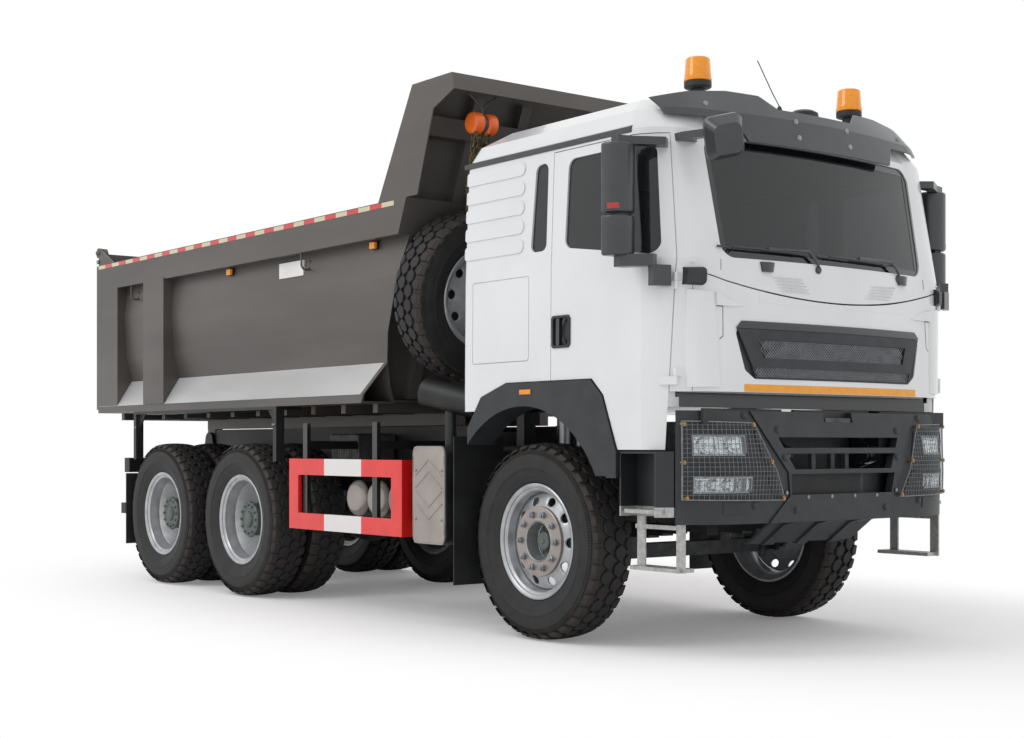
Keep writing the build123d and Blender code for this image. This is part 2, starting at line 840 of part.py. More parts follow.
kerb_mirror_z = 2850.0
kerb_mirror_wide = 215.0
kerb_mirror_high = 235.0
kerb_arm_z = 2862.0
grille_edge = [(804, 1832), (740, 1600), (673, 1553)]
visor_sections = [
    (2885, 1235, -1000, 1105, -1160, 890, -1232, -1318, 560),
    (3060, 1185, -940, 1045, -1105, 860, -1180, -1272, 520),
    (3210, 1100, -880, 960, -1010, 780, -1080, -1180, 400),
]
# front view of the visor: half width, height, from the middle of the lower edge round to the upper one
visor_edge = [
    (618, 2893),
    (680, 3012),
    (1088, 3018),
    (1096, 3132),
    (905, 3174),
    (650, 3202),
    (423, 3196),
    (323, 3120),
]
visor_stud_table = [(223, 2955), (223, 3053), (844, 3094)]
visor_wall = 16.0
arch_y = aft(-10)
arch_z = 650.0
arch_radius = 768.0
# outer edge of the wheel arch trim, from the rear to the door
arch_edge = [(540, 1290), (400, 1480), (150, 1560), (-640, 1560), (-740, 1466), (-822, 1245), (-862, 1140)]


def arch_outline(grow):
    """Side view of the wheel arch trim with the opening below it, grown by a seam."""
    with BuildSketch() as outline:
        with BuildLine():
            Polyline(
                (aft(540) + grow, 1000),
                *[(aft(y) + (grow if y > 0 else -grow), z + grow) for y, z in arch_edge],
                (aft(-862) - grow, 1000),
                close=True,
            )
        make_face()
    return outline.sketch


def door_outline(grow):
    """Side view of the door, grown by a seam."""
    with BuildSketch() as outline:
        with BuildLine():
            Polyline(
                (aft(-1500), door_bottom - grow),
                (aft(door_rear) + grow, door_bottom - grow),
                (aft(door_rear) + grow, door_top + grow),
                (aft(-1500), door_top + grow),
                close=True,
            )
        make_face()
        add(arch_outline(seam - grow), mode=Mode.SUBTRACT)
    return outline.sketch


def door_front(grow):
    """Front view of the band beside the door's front edge, which leans in as it rises."""
    with BuildSketch() as outline:
        with BuildLine():
            Polyline(
                (1172 - grow, 1100),
                (1142 - grow, 2132),
                (1088 - grow, 2950),
                (1400, 2950),
                (1400, 1100),
                close=True,
            )
        make_face()
    return outline.sketch


def door_block(grow):
    """Everything inside the left door's outline, from the side and from the front."""
    with BuildPart() as block:
        with BuildSketch(Plane.YZ):
            add(door_outline(grow))
        extrude(amount=1400)
        with BuildSketch(Plane.XZ):
            add(door_front(grow))
        extrude(amount=6000, both=True, mode=Mode.INTERSECT)
    return block.part


def door_window(grow):
    """The left door's window opening, grown by a rim."""
    with BuildPart() as block:
        with BuildSketch(Plane.YZ.offset(900)) as outline:
            with BuildLine():
                Polyline(
                    (aft(-395) + grow, 2335 - grow),
                    (aft(-412) + grow, 2850 + grow),
                    (aft(-1085) - grow, 2850 + grow),
                    (aft(-1165) - grow, 2225 - grow),
                    close=True,
                )
            make_face()
            fillet(outline.vertices(), 60)
        extrude(amount=500)
    return block.part


def rear_window(grow):
    """The left side window behind the door, grown by a rim."""
    with BuildPart() as block:
        with BuildSketch(Plane.YZ.offset(900)) as outline:
            with BuildLine():
                Polyline(
                    (aft(-75) + grow, 2335 - grow),
                    (aft(-110) + grow, 2850 + grow),
                    (aft(-225) - grow, 2862 + grow),
                    (aft(-225) - grow, 2335 - grow),
                    close=True,
                )
            make_face()
            fillet(outline.vertices(), 45)
        extrude(amount=500)
    return block.part


def windscreen_block(grow):
    """The windscreen's outline, carried back through the cab's front wall."""
    with BuildPart() as block:
        with BuildSketch(Plane.XZ.offset(-aft(-900))) as outline:
            with BuildLine():
                Polyline(
                    (-870 - grow, 2222 - grow),
                    (870 + grow, 2222 - grow),
                    (895 + grow, 2905 + grow),
                    (-895 - grow, 2905 + grow),
                    close=True,
                )
            make_face()
            fillet(outline.vertices(), 90)
        extrude(amount=700)
    return block.part


flap_lip_back = -1374.0  # back of the lip along the front flap's upper edge
flap_lip_turn = 1.33


def flap_block(grow, lift):
    """The front flap's outline, from the lower edge to its curved seam, grown at its sides and top."""
    with BuildPart() as block:
        with BuildSketch(Plane.XZ.offset(-aft(-1200))):
            with BuildLine():
                Polyline(
                    (-flap_half - grow, flap_side_top + lift),
                    (-flap_half - grow, panel_bottom - grow),
                    (flap_half + grow, panel_bottom - grow),
                    (flap_half + grow, flap_side_top + lift),
                )
                ThreePointArc(
                    (flap_half + grow, flap_side_top + lift),
                    (0, flap_middle_top + lift),
                    (-flap_half - grow, flap_side_top + lift),
                )
            make_face()
        extrude(amount=300)
    return block.part


def both_sides(shape):
    """A left-hand shape together with its mirror image."""
    return [shape, mirror(shape, about=Plane.YZ)]


# door hinges: a knuckle on the shell above one on the door
door_hinge_x = 1150.0
door_hinge_y = -1233.0
door_hinge_heights = [1560.0, 2080.0]
door_pin_radius = 8.0
hinge_knuckle = 45.0
shell_leg = [(1158, -1224), (1146, -1240), (1104, -1244), (1108, -1212)]
door_leg = [(1141, -1224), (1158, -1236), (1204, -1160), (1184, -1150)]

# front flap: two swan-necked arms, each turning on a pin behind the panel above
flap_hinge = -1345.0
flap_hinge_z = 2145.0
flap_pin_radius = 6.0
flap_arm_x = 300.0
arm_thickness = 12.0


def hinge_leaf(side, leg):
    """Plan of a hinge knuckle with the leg that joins it to its panel."""
    with BuildSketch() as leaf:
        with BuildLine():
            Polyline(*[(side * x, aft(y)) for x, y in leg], close=True)
        make_face()
        with Locations((side * door_hinge_x, aft(door_hinge_y))):
            Circle(door_pin_radius + 4.5)
    return leaf.sketch


# what is left of a panel's wall once its inside is taken away
flap_inside = cab_form(cab_sections, flap_thickness)
glass_outside = cab_form(cab_sections, glass_inset)
glass_inside = cab_form(cab_sections, glass_inset + glass_thickness)

# inside of the cab, from the floor up
with BuildPart() as cab_cavity:
    add(cab_inside)
    with Locations((0, 0, cab_floor + 1000)):
        Box(3000, 8000, 2000, mode=Mode.INTERSECT)

# raised ribs behind the rear side window, following the cab's side
with BuildPart() as side_ribs:
    with BuildSketch(Plane.YZ.offset(900)):
        with Locations((aft((rib_front + rib_rear) / 2), (rib_bottom + rib_top) / 2)):
            with GridLocations(1, rib_pitch, 1, rib_count):
                rib_height = rib_pitch - rib_space
                RectangleRounded(rib_rear - rib_front, rib_height, rib_height / 2 - 1)
    extrude(amount=500)
    add(cab_form(cab_sections, -rib_proud), mode=Mode.INTERSECT)
    mirror(about=Plane.YZ)

# seam round the locker door in each side
with BuildPart() as locker_seams:
    for side in (-1, 1):
        with BuildSketch(Plane.YZ.offset(side * (locker_side - seam_depth))):
            with Locations((aft((locker_front + locker_rear) / 2), (locker_bottom + locker_top) / 2)):
                RectangleRounded(locker_rear - locker_front, locker_top - locker_bottom, 22)
                RectangleRounded(
                    locker_rear - locker_front - 2 * seam, locker_top - locker_bottom - 2 * seam, 17,
                    mode=Mode.SUBTRACT,
                )
        extrude(amount=side * 100)

with BuildPart() as cab_shell:
    add(cab_outside)
    add(side_ribs.part)
    add(cab_cavity.part, mode=Mode.SUBTRACT)
    # underside: level below the floor, the corners cut back above the bumper
    with Locations((0, aft(0), cab_floor_bottom - 500)):
        Box(3000, 5000, 1000, mode=Mode.SUBTRACT)
    with Locations((0, aft(-1500), panel_bottom - 500)):
        Box(3000, 640, 1000, mode=Mode.SUBTRACT)
    with BuildSketch(Plane.YZ):
        add(arch_outline(seam))
    extrude(amount=1500, both=True, mode=Mode.SUBTRACT)
    # the floor again above the arches, inside the doors
    with Locations((0, aft(-320), (cab_floor + cab_floor_bottom) / 2)):
        Box(1500, 1700, cab_floor - cab_floor_bottom)
    for cut in both_sides(door_block(seam)):
        add(cut, mode=Mode.SUBTRACT)
    for cut in both_sides(rear_window(0)):
        add(cut, mode=Mode.SUBTRACT)
    add(locker_seams.part, mode=Mode.SUBTRACT)
    add(windscreen_block(0), mode=Mode.SUBTRACT)
    add(flap_block(seam, flap_seam), mode=Mode.SUBTRACT)
    # bulkhead behind the front flap, with a shelf under the windscreen
    with Locations((0, aft(-1166), 1780)):
        Box(2150, 8, 760)
    with Locations((0, aft(-1222), 2182)):
        Box(2150, 120, 8)
    with Locations((0, aft(-1166), 2170)):
        Box(2150, 8, 32)
    # slots for the flap's arms, each crossed by a pin
    for side in (-1, 1):
        with Locations((side * flap_arm_x, aft(flap_hinge) + 80, (flap_hinge_z + 1990) / 2 + 10)):
            Box(arm_thickness + 8, 200, flap_hinge_z - 1990 + 20, mode=Mode.SUBTRACT)
        with Locations((side * flap_arm_x, aft(flap_hinge), flap_hinge_z)):
            Cylinder(flap_pin_radius, arm_thickness + 30, rotation=(0, 90, 0))
        # door hinges: upper knuckles with their pins
        for height in door_hinge_heights:
            with BuildSketch(Plane.XY.offset(height + 1)):
                add(hinge_leaf(side, shell_leg))
            extrude(amount=hinge_knuckle)
            with Locations((side * door_hinge_x, aft(door_hinge_y), height + 1)):
                Cylinder(door_pin_radius, 2 * hinge_knuckle)
    # hinge lugs under the front of the floor
    for side in (-1, 1):
        with BuildSketch(Plane.YZ.offset(side * cab_lug_x - 30)):
            with BuildLine():
                Polyline(
                    (aft(cab_hinge) - 30, cab_hinge_z + 42),
                    (aft(cab_hinge) + 60, cab_hinge_z + 117),
                    (aft(cab_hinge) + 212, cab_hinge_z + 205),
                    (aft(cab_hinge) + 212, cab_floor_bottom + 5),
                    (aft(cab_hinge) + 340, cab_floor_bottom + 5),
                    (aft(cab_hinge) + 262, cab_hinge_z + 150),
                    (aft(cab_hinge) + 40, cab_hinge_z - 38),
                    close=True,
                )
            make_face()
            with Locations((aft(cab_hinge), cab_hinge_z)):
                Circle(55)
                Circle(cab_pin_radius + running_clearance, mode=Mode.SUBTRACT)
        extrude(amount=60)
write(cab_shell, "cab_shell")

with BuildPart() as cab_roof:
    add(cab_form(roof_sections, 0))
    roof_inside = [(row[0] - (40 if row[0] > gutter_z else 0), *row[1:]) for row in roof_sections]
    add(cab_form(roof_inside, 40), mode=Mode.SUBTRACT)
write(cab_roof, "cab_roof")

# hollow behind each door handle, with the grip left standing in it
with BuildPart() as handle_hollow:
    with BuildSketch(Plane.YZ.offset(1000)):
        with Locations((aft((handle_front + handle_rear) / 2), (handle_bottom + handle_top) / 2)):
            RectangleRounded(handle_rear - handle_front, handle_top - handle_bottom, 24)
        with Locations((aft(handle_rear - 34), (handle_bottom + handle_top) / 2)):
            Rectangle(30, handle_top - handle_bottom, mode=Mode.SUBTRACT)
    extrude(amount=400)
    add(cab_form(cab_sections, handle_recess), mode=Mode.SUBTRACT)

for name, side in [("left", 1), ("right", -1)]:
    with BuildPart() as door:
        add(cab_outside)
        add(door_block(0), mode=Mode.INTERSECT)
        add(door_inside, mode=Mode.SUBTRACT)
        add(door_window(0), mode=Mode.SUBTRACT)
        add(handle_hollow.part, mode=Mode.SUBTRACT)
        if side < 0:
            mirror(about=Plane.YZ, mode=Mode.REPLACE)
        for height in door_hinge_heights:
            with BuildSketch(Plane.XY.offset(height - 1)):
                add(hinge_leaf(side, door_leg))
            extrude(amount=-hinge_knuckle)
            with Locations((side * door_hinge_x, aft(door_hinge_y), height)):
                Cylinder(door_pin_radius + running_clearance, 4 * hinge_knuckle, mode=Mode.SUBTRACT)
    write(door, f"door_{name}")
    with BuildPart() as door_glass:
        add(glass_outside)
        add(door_window(-glass_gap), mode=Mode.INTERSECT)
        add(glass_inside, mode=Mode.SUBTRACT)
        if side < 0:
            mirror(about=Plane.YZ, mode=Mode.REPLACE)
    write(door_glass, f"door_glass_{name}")
    with BuildPart() as mirror_unit:
        rear = aft(mirror_y) + mirror_deep / 2
        # two housings: flat behind, where the glass is, and bowed ahead
        for low, high in ((mirror_low, mirror_split - 6), (mirror_split + 6, mirror_high)):
            with BuildSketch(Plane.XY.offset(low)):
                with BuildLine():
                    Polyline(
                        (mirror_x - mirror_wide / 2, rear - 35),
                        (mirror_x - mirror_wide / 2, rear),
                        (mirror_x + mirror_wide / 2, rear),
                        (mirror_x + mirror_wide / 2, rear - 35),
                    )
                    ThreePointArc(
                        (mirror_x + mirror_wide / 2, rear - 35),
                        (mirror_x, rear - mirror_deep),
                        (mirror_x - mirror_wide / 2, rear - 35),
                    )
                make_face()
            extrude(amount=high - low)
        fillet(mirror_unit.edges(), 16)
        with Locations((mirror_x, aft(mirror_y), mirror_split)):
            Box(60, 50, 80)
        # arms to the door: over the upper housing, and under the lower one to the foot
        for bottom, top, edge in [
            (mirror_high - 8, mirror_high + 36, mirror_upper_arm),
            (mirror_low - 60, mirror_low + 6, mirror_lower_arm),
            (mirror_foot_low, mirror_low - 54, mirror_foot),
            (mirror_pad_low, mirror_low - 54, mirror_pad),
        ]:
            with BuildSketch(Plane.XY.offset(bottom)):
                with BuildLine():
                    Polyline(*[(x, aft(y)) for x, y in edge], close=True)
                make_face()
            extrude(amount=top - bottom)
        add(cab_outside, mode=Mode.SUBTRACT)
        if side < 0:
            mirror(about=Plane.YZ, mode=Mode.REPLACE)
    write(mirror_unit, f"mirror_{name}")

with BuildPart() as front_flap:
    add(cab_outside)
    add(flap_block(0, 0), mode=Mode.INTERSECT)
    add(flap_inside, mode=Mode.SUBTRACT)
    # rebate behind the lip of its upper edge, which lets it swing out
    for side in (-1, 1):
        with Locations(Location((side * 285, aft(flap_lip_back + 43.4), flap_middle_top + 48),
                                (0, 0, side * flap_lip_turn))):
            Box(590, 100, 120, mode=Mode.SUBTRACT)
    # opening for the grille
    with BuildSketch(Plane.XZ.offset(-aft(-1200))) as hole:
        with BuildLine():
            Polyline(*[(-x, z) for x, z in grille_edge], *reversed(grille_edge), close=True)
        make_face()
        fillet(hole.vertices(), 30)
    extrude(amount=300, mode=Mode.SUBTRACT)
    # swan-necked arms
    for side in (-1, 1):
        with BuildSketch(Plane.YZ.offset(side * flap_arm_x - arm_thickness / 2)):
            with BuildLine():
                Polyline(
                    (aft(flap_hinge), flap_hinge_z + 11),
                    (aft(flap_hinge) + 160, flap_hinge_z + 6),
                    (aft(flap_hinge) + 160, flap_hinge_z - 175),
                    (aft(flap_hinge) - 6, flap_hinge_z - 175),
                    (aft(flap_hinge) - 6, flap_hinge_z - 155),
                    (aft(flap_hinge) + 140, flap_hinge_z - 155),
                    (aft(flap_hinge) + 140, flap_hinge_z - 14),
                    (aft(flap_hinge), flap_hinge_z - 11),
                    close=True,
                )
            make_face()
            with Locations((aft(flap_hinge), flap_hinge_z)):
                Circle(12)
                Circle(flap_pin_radius + running_clearance, mode=Mode.SUBTRACT)
        extrude(amount=arm_thickness)
write(front_flap, "front_flap")

with BuildPart() as grille:
    add(cab_form(cab_sections, 8))
    with BuildSketch(Plane.XZ.offset(-aft(-1200))) as hole:
        with BuildLine():
            Polyline(*[(-x, z) for x, z in grille_edge], *reversed(grille_edge), close=True)
        make_face()
        fillet(hole.vertices(), 30)
        offset(amount=-0.3)
    extrude(amount=300, mode=Mode.INTERSECT)
    add(cab_form(cab_sections, 40), mode=Mode.SUBTRACT)
write(grille, "grille")

with BuildPart() as cab_glass:
    add(windscreen_block(-glass_gap))
    for block in both_sides(rear_window(-glass_gap)):
        add(block)
    add(glass_outside, mode=Mode.INTERSECT)
    add(glass_inside, mode=Mode.SUBTRACT)
write(cab_glass, "cab_glass")

with BuildPart() as wheel_arches:
    with BuildSketch(Plane.YZ.offset(half_width - 200)):
        add(arch_outline(0))
        with Locations((arch_y, arch_z)):
            Circle(arch_radius, mode=Mode.SUBTRACT)
        with Locations((arch_y, 1000)):
            Rectangle(2 * arch_radius, 20, mode=Mode.SUBTRACT)
    extrude(amount=205)
    # tabs up to the cab's side
    with Locations((half_width - 35, aft(0), 1560)):
        with GridLocations(1, 200, 1, 2):
            Box(30, 60, 10)
    mirror(about=Plane.YZ)
write(wheel_arches, "wheel_arches")

with BuildPart() as visor_studs:
    for side in (-1, 1):
        for x, z in visor_stud_table:
            with Locations((side * x, aft(-1200), z)):
                Cylinder(14, 400, rotation=(90, 0, 0))
    add(cab_form(visor_sections, 2), mode=Mode.INTERSECT)

with BuildPart() as sun_visor:
    with BuildSketch(Plane.XZ.offset(-aft(-900))) as outline:
        with BuildLine():
            Polyline(*visor_edge, *[(-x, z) for x, z in reversed(visor_edge)], close=True)
        make_face()
        fillet(outline.vertices().group_by(Axis.Y)[-1], 40)
    extrude(amount=700)
    add(cab_form(visor_sections, 0), mode=Mode.INTERSECT)
    add(cab_form(visor_sections, visor_wall), mode=Mode.SUBTRACT)
    add(visor_studs.part)
    add(cab_form(roof_sections, -0.3), mode=Mode.SUBTRACT)
    add(cab_form(cab_sections, -0.3), mode=Mode.SUBTRACT)
write(sun_visor, "sun_visor")

with BuildPart() as beacons:
    for side in (-1, 1):
        with Locations((side * 666, aft(-914), 3220)):
            Cylinder(70, 160)
        with Locations((side * 666, aft(-914), 3297 + 65)):
            Cone(84, 76, 130)
    add(cab_form(roof_sections, 0), mode=Mode.SUBTRACT)
write(beacons, "beacons")

with BuildPart() as dashboard:
    with BuildSketch(Plane.YZ.offset(-1080)):
        with BuildLine():
            Polyline(
                (aft(-1162), 1900),
                (aft(-1162), 2190),
                (aft(-900), 2190),
                (aft(-760), 2080),
                (aft(-780), 1800),
                close=True,
            )
        make_face()
    extrude(amount=2160)
    with Locations(Location((600, aft(-680), 2120), (-25, 0, 0))):
        Torus(215, 16)
        Cylinder(50, 30)
        Box(420, 30, 12)
    with Locations(Location((600, aft(-735), 2002), (-25, 0, 0))):
        Cylinder(30, 262)
write(dashboard, "dashboard")

with BuildPart() as seats:
    for side in (-1, 1):
        with Locations((side * 600, aft(-330), 1605)):
            Box(400, 420, 310)
        with Locations((side * 600, aft(-330), 1810)):
            Box(520, 500, 120)
        with Locations((side * 600, aft(-110), 2150)):
            Box(500, 130, 620)
        with Locations((side * 600, aft(-110), 2550)):
            Box(300, 100, 200)
write(seats, "seats")

with BuildPart() as front_mirror:
    kerb_plane = Plane(
        origin=(kerb_mirror_x, aft(kerb_mirror_y), kerb_mirror_z),
        x_dir=(0.86, -0.45, 0.22),
        z_dir=(-0.40, -0.85, -0.34),
    )
    with BuildSketch(kerb_plane):
        RectangleRounded(kerb_mirror_wide, kerb_mirror_high, 45)
    with BuildSketch(kerb_plane.offset(70)):
        RectangleRounded(kerb_mirror_wide - 60, kerb_mirror_high - 70, 40)
    loft()
    with BuildSketch(kerb_plane):
        RectangleRounded(kerb_mirror_wide, kerb_mirror_high, 45)
    extrude(amount=-25)
    # arm from the pillar's foot on the cab's corner
    with BuildSketch(Plane.XY.offset(kerb_arm_z)):
        with BuildLine():
            Polyline(
                (-950, aft(-1120)),
                (-1066, aft(-1120)),
                (-1072, aft(-1205)),
                (-1010, aft(-1440)),
                (-960, aft(-1400)),
                (-1012, aft(-1235)),
                (-950, aft(-1195)),
                close=True,
            )
        make_face()
    extrude(amount=42)
    add(cab_outside, mode=Mode.SUBTRACT)
write(front_mirror, "front_mirror")

# ---------------------------------------------------------------- tipping bed

# half section of the bed, outside and inside: x, z
side_bottom = 1477.0
side_outside = [
    (1122, bed_top),
    (half_width, bed_top),
    (half_width, bed_top - top_rail_height),
    (1155, bed_top - top_rail_height),
    (1185, 2332),
    (1160, 1963),
    (1110, 1755),
    (half_width, 1535),
    (half_width, side_bottom),
    (970, side_bottom),
]
side_inside = [(980, bed_floor), (1040, 1600), (1102, 1757), (1152, 1963), (1177, 2332), (1122, 2604)]
# hollow behind the sloping lower edge
edge_hollow = [(1112, 1738), (1235, 1541), (1235, 1490), (1000, 1490), (1050, 1592)]
# what a post fills, from the wall's outside to the truck's side
post_section = [
    (half_width, 1540),
    (half_width, 2610),
    (1150, 2610),
    (1180, 2332),
    (1155, 1963),
    (1106, 1757),
]
# posts: front, rear, how far they stand proud
post_table = [(5866, bed_rear, 0.0), (4905, 5308, 8.0)]
sill_inner = 350.0
bearer_depth = 75.0
guard_plate_front = wheelbase - 570.0
guard_plate_rear = wheelbase + bogie_spacing + 470.0
ear_thickness = 30.0
ear_x = 1230.0
strap_x = 1185.0
strap_thickness = 36.0


def bed_side(points, side):
    """A closed half section on the side asked for."""
    with BuildSketch() as section:
        with BuildLine():
            Polyline(*[(side * x, z) for x, z in points], close=True)
        make_face()
    return section.sketch


def ahead_of_headboard(extra):
    """All the room ahead of the headboard's face, moved back by the extra."""
    with BuildPart() as block:
        with BuildSketch(Plane.YZ.offset(-2000)):
            with BuildLine():
                Polyline(
                    (aft(-3000), 1000),
                    (headboard_y(1000) + extra, 1000),
                    (headboard_y(4000) + extra, 4000),
                    (aft(-3000), 4000),
                    close=True,
                )
            make_face()
        extrude(amount=4000)
    return block.part


with BuildPart() as tipper_body:
    for side in (-1, 1):
        with BuildSketch(Plane.XZ.offset(-aft(bed_rear))):
            under = [(970, bed_floor - 10), (0, bed_floor - 10), (0, bed_floor)]
            outline = side_outside + under + side_inside
            add(bed_side(outline, side))
            add(bed_side(edge_hollow, side), mode=Mode.SUBTRACT)
        extrude(amount=bed_rear - 1000)
    add(ahead_of_headboard(0), mode=Mode.SUBTRACT)
    for side in (-1, 1):
        for front, rear, proud in post_table:
            with BuildSketch(Plane.XZ.offset(-aft(rear))):
                add(bed_side([(x + (proud if x == half_width else 0), z) for x, z in post_section], side))
            extrude(amount=rear - front)
        # sill on the frame, with the lug of the tipping hinge
        with Locations((side * (sill_inner + frame_half) / 2, aft((1800 + tip_hinge + 70) / 2),
                        (sill_bottom + bed_floor - 10) / 2)):
            Box(frame_half - sill_inner, tip_hinge + 70 - 1800, bed_floor - 10 - sill_bottom)
        with BuildSketch(Plane.YZ.offset(side * (sill_inner + frame_half) / 2 - 37)) as lug:
            with BuildLine():
                Polyline(
                    (aft(tip_hinge) - 75, tip_hinge_z),
                    (aft(tip_hinge) + 75, tip_hinge_z),
                    (aft(tip_hinge) + 70, sill_bottom + 20),
                    (aft(tip_hinge) - 75, sill_bottom + 20),
                    close=True,
                )
            make_face()
            with Locations((aft(tip_hinge), tip_hinge_z)):
                Circle(75)
                Circle(tip_pin_radius + running_clearance, mode=Mode.SUBTRACT)
        extrude(amount=74)
        # ears of the tailgate's hinge
        with BuildSketch(Plane.YZ.offset(side * ear_x - ear_thickness / 2)):
            with BuildLine():
                Polyline(
                    (aft(gate_hinge) - 330, bed_top - 10),
                    (aft(bed_rear), bed_top - 10),
                    (aft(bed_rear), gate_hinge_z),
                    (aft(gate_hinge) - 46, gate_hinge_z + 20),
                    close=True,
                )
            make_face()
            with Locations((aft(gate_hinge), gate_hinge_z)):
                Circle(46)
        extrude(amount=ear_thickness)
        with Locations((side * (strap_x + ear_x) / 2, aft(gate_hinge), gate_hinge_z)):
            Cylinder(gate_pin_radius, ear_x - strap_x + ear_thickness + strap_thickness, rotation=(0, 90, 0))
    # bearers under the floor
    with Locations((0, aft((1900 + bed_rear) / 2), bed_floor - 10 - bearer_depth / 2)):
        with GridLocations(1, (bed_rear - 1900 - 100) / 10, 1, 11):
            Box(2060, 60, bearer_depth)
write(tipper_body, "tipper_body")

# frames under the bed over the wheels: a plate and two legs with their gussets on each side
wheel_plate = 23.0
wheel_plate_top = side_bottom
wheel_plate_inner = 1030.0
leg_width = 70.0
leg_depth = 50.0
leg_bottom = 1060.0
gusset = 130.0
with BuildPart() as wheel_frames:
    middle = (guard_plate_front + guard_plate_rear) / 2
    for side in (-1, 1):
        across = side * (half_width + wheel_plate_inner) / 2
        length = guard_plate_rear - guard_plate_front + 2 * leg_depth
        with Locations((across, aft(middle), wheel_plate_top - wheel_plate / 2)):
            Box(half_width - wheel_plate_inner, length, wheel_plate)
        for place, inward in ((guard_plate_front, 1), (guard_plate_rear, -1)):
            with Locations((side * (half_width - leg_width / 2), aft(place - inward * leg_depth / 2),
                            (leg_bottom + wheel_plate_top - wheel_plate) / 2)):
                Box(leg_width, leg_depth, wheel_plate_top - wheel_plate - leg_bottom)
            with BuildSketch(Plane.YZ.offset(side * (half_width - leg_width / 2) - 6)):
                with BuildLine():
                    Polyline(
                        (aft(place), wheel_plate_top - wheel_plate),
                        (aft(place + inward * gusset), wheel_plate_top - wheel_plate),
                        (aft(place), wheel_plate_top - wheel_plate - gusset),
                        close=True,
                    )
                make_face()
            extrude(amount=12)
write(wheel_frames, "wheel_frames")


headboard_wall = 10.0
# side view of the gable plates: distance behind the front axle, height
gable = [
    (1574, bed_top),
    (canopy_rear, canopy_top),
    (canopy_front, canopy_top),
    (690, 3460),
    (921, 3369),
    (1104, 2835),
]
fork_gap = 52.0
fork_plate = 20.0

with BuildPart() as headboard:
    # wall between the sides, then full width above them
    with BuildSketch(Plane.XZ.offset(-aft(2000))):
        for side in (-1, 1):
            inner = [(x - 0.3, z) for x, z in side_inside] + [(1121.7, 2700), (0, 2700), (0, bed_floor)]
            add(bed_side(inner, side))
            add(bed_side([(0, 2690), (1121.7, 2690), (1121.7, bed_top), (half_width - 6, bed_top),
                          (half_width - 6, canopy_top - 5), (0, canopy_top - 5)], side))
    extrude(amount=1600)
    add(ahead_of_headboard(headboard_setback), mode=Mode.SUBTRACT)
    with BuildSketch(Plane.YZ.offset(-2000)):
        with BuildLine():
            Polyline(
                (aft(3000), 1000),
                (headboard_y(1000) + headboard_setback + headboard_wall, 1000),
                (headboard_y(4000) + headboard_setback + headboard_wall, 4000),
                (aft(3000), 4000),
                close=True,
            )
        make_face()
    extrude(amount=4000, mode=Mode.SUBTRACT)
    # beams across its front, from the face back into the wall
    for low, high, half in ((2600, bed_top, 1121.7), (3230, 3350, half_width - 6)):
        with BuildSketch(Plane.YZ.offset(-half)):
            with BuildLine():
                Polyline(
                    (headboard_y(low), low),
                    (headboard_y(high), high),
                    (headboard_y(high) + headboard_setback + 5, high),
                    (headboard_y(low) + headboard_setback + 5, low),
                    close=True,
                )
            make_face()
        extrude(amount=2 * half)
    # upright ribs
    for x in (-820, -420, 420, 820):
        with BuildSketch(Plane.YZ.offset(x - 40)):
            with BuildLine():
                Polyline(
                    (headboard_y(bed_floor + 10) + 20, bed_floor + 10),
                    (headboard_y(3500) + 20, 3500),
                    (headboard_y(3500) + headboard_setback + 5, 3500),
                    (headboard_y(bed_floor + 10) + headboard_setback + 5, bed_floor + 10),
                    close=True,
                )
            make_face()
        extrude(amount=80)
    # gables and canopy
    for side in (-1, 1):
        with BuildSketch(Plane.YZ.offset(side * (half_width - 4) - 4)):
            with BuildLine():
                Polyline(*[(aft(y), z) for y, z in gable], close=True)
            make_face()
        extrude(amount=8)
    with Locations((0, aft((canopy_front + canopy_rear) / 2), canopy_top - 5)):
        Box(2 * half_width, canopy_rear - canopy_front, 10)
    with BuildSketch(Plane.YZ.offset(-half_width)):
        with BuildLine():
            Polyline(
                (aft(canopy_front), canopy_top),
                (aft(690), canopy_top - canopy_lip),
                (aft(700), canopy_top - canopy_lip),
                (aft(canopy_front + 10), canopy_top),
                close=True,
            )
        make_face()
    extrude(amount=2 * half_width)
    # fork that holds the hoist's head
    for side in (-1, 1):
        with BuildSketch(Plane.YZ.offset(side * (fork_gap + fork_plate / 2) - fork_plate / 2)):
            with BuildLine():
                Polyline(
                    (headboard_y(2780) + headboard_setback + 5, 2780),
                    (aft(hoist_head), hoist_head_z + 60),
                    (aft(hoist_head), hoist_head_z - 60),
                    (headboard_y(2380) + headboard_setback + 5, 2380),
                    close=True,
                )
            make_face()
            with Locations((aft(hoist_head), hoist_head_z)):
                Circle(60)
        extrude(amount=fork_plate)
write(headboard, "headboard")

gate_front = bed_rear + joint_gap
gate_thickness = 40.0
with BuildPart() as tailgate:
    with Locations((0, aft(gate_front + gate_thickness / 2), (1510 + bed_top - 5) / 2)):
        Box(2 * half_width - 10, gate_thickness, bed_top - 5 - 1510)
    for side in (-1, 1):
        with BuildSketch(Plane.YZ.offset(side * strap_x - strap_thickness / 2)):
            with BuildLine():
                Polyline(
                    (aft(gate_front), 2640),
                    (aft(gate_front + gate_thickness + 8), 2640),
                    (aft(gate_hinge) + 40, gate_hinge_z),
                    (aft(gate_hinge) - 6, gate_hinge_z),
                    close=True,
                )
            make_face()
            with Locations((aft(gate_hinge), gate_hinge_z)):
                Circle(44)
                Circle(gate_pin_radius + running_clearance, mode=Mode.SUBTRACT)
        extrude(amount=strap_thickness)
write(tailgate, "tailgate")

# ---------------------------------------------------------------- hoist

tube_bottom = hoist_foot_z + 70
tube_top = tube_bottom + hoist_tube_length
stage_step = 20.0

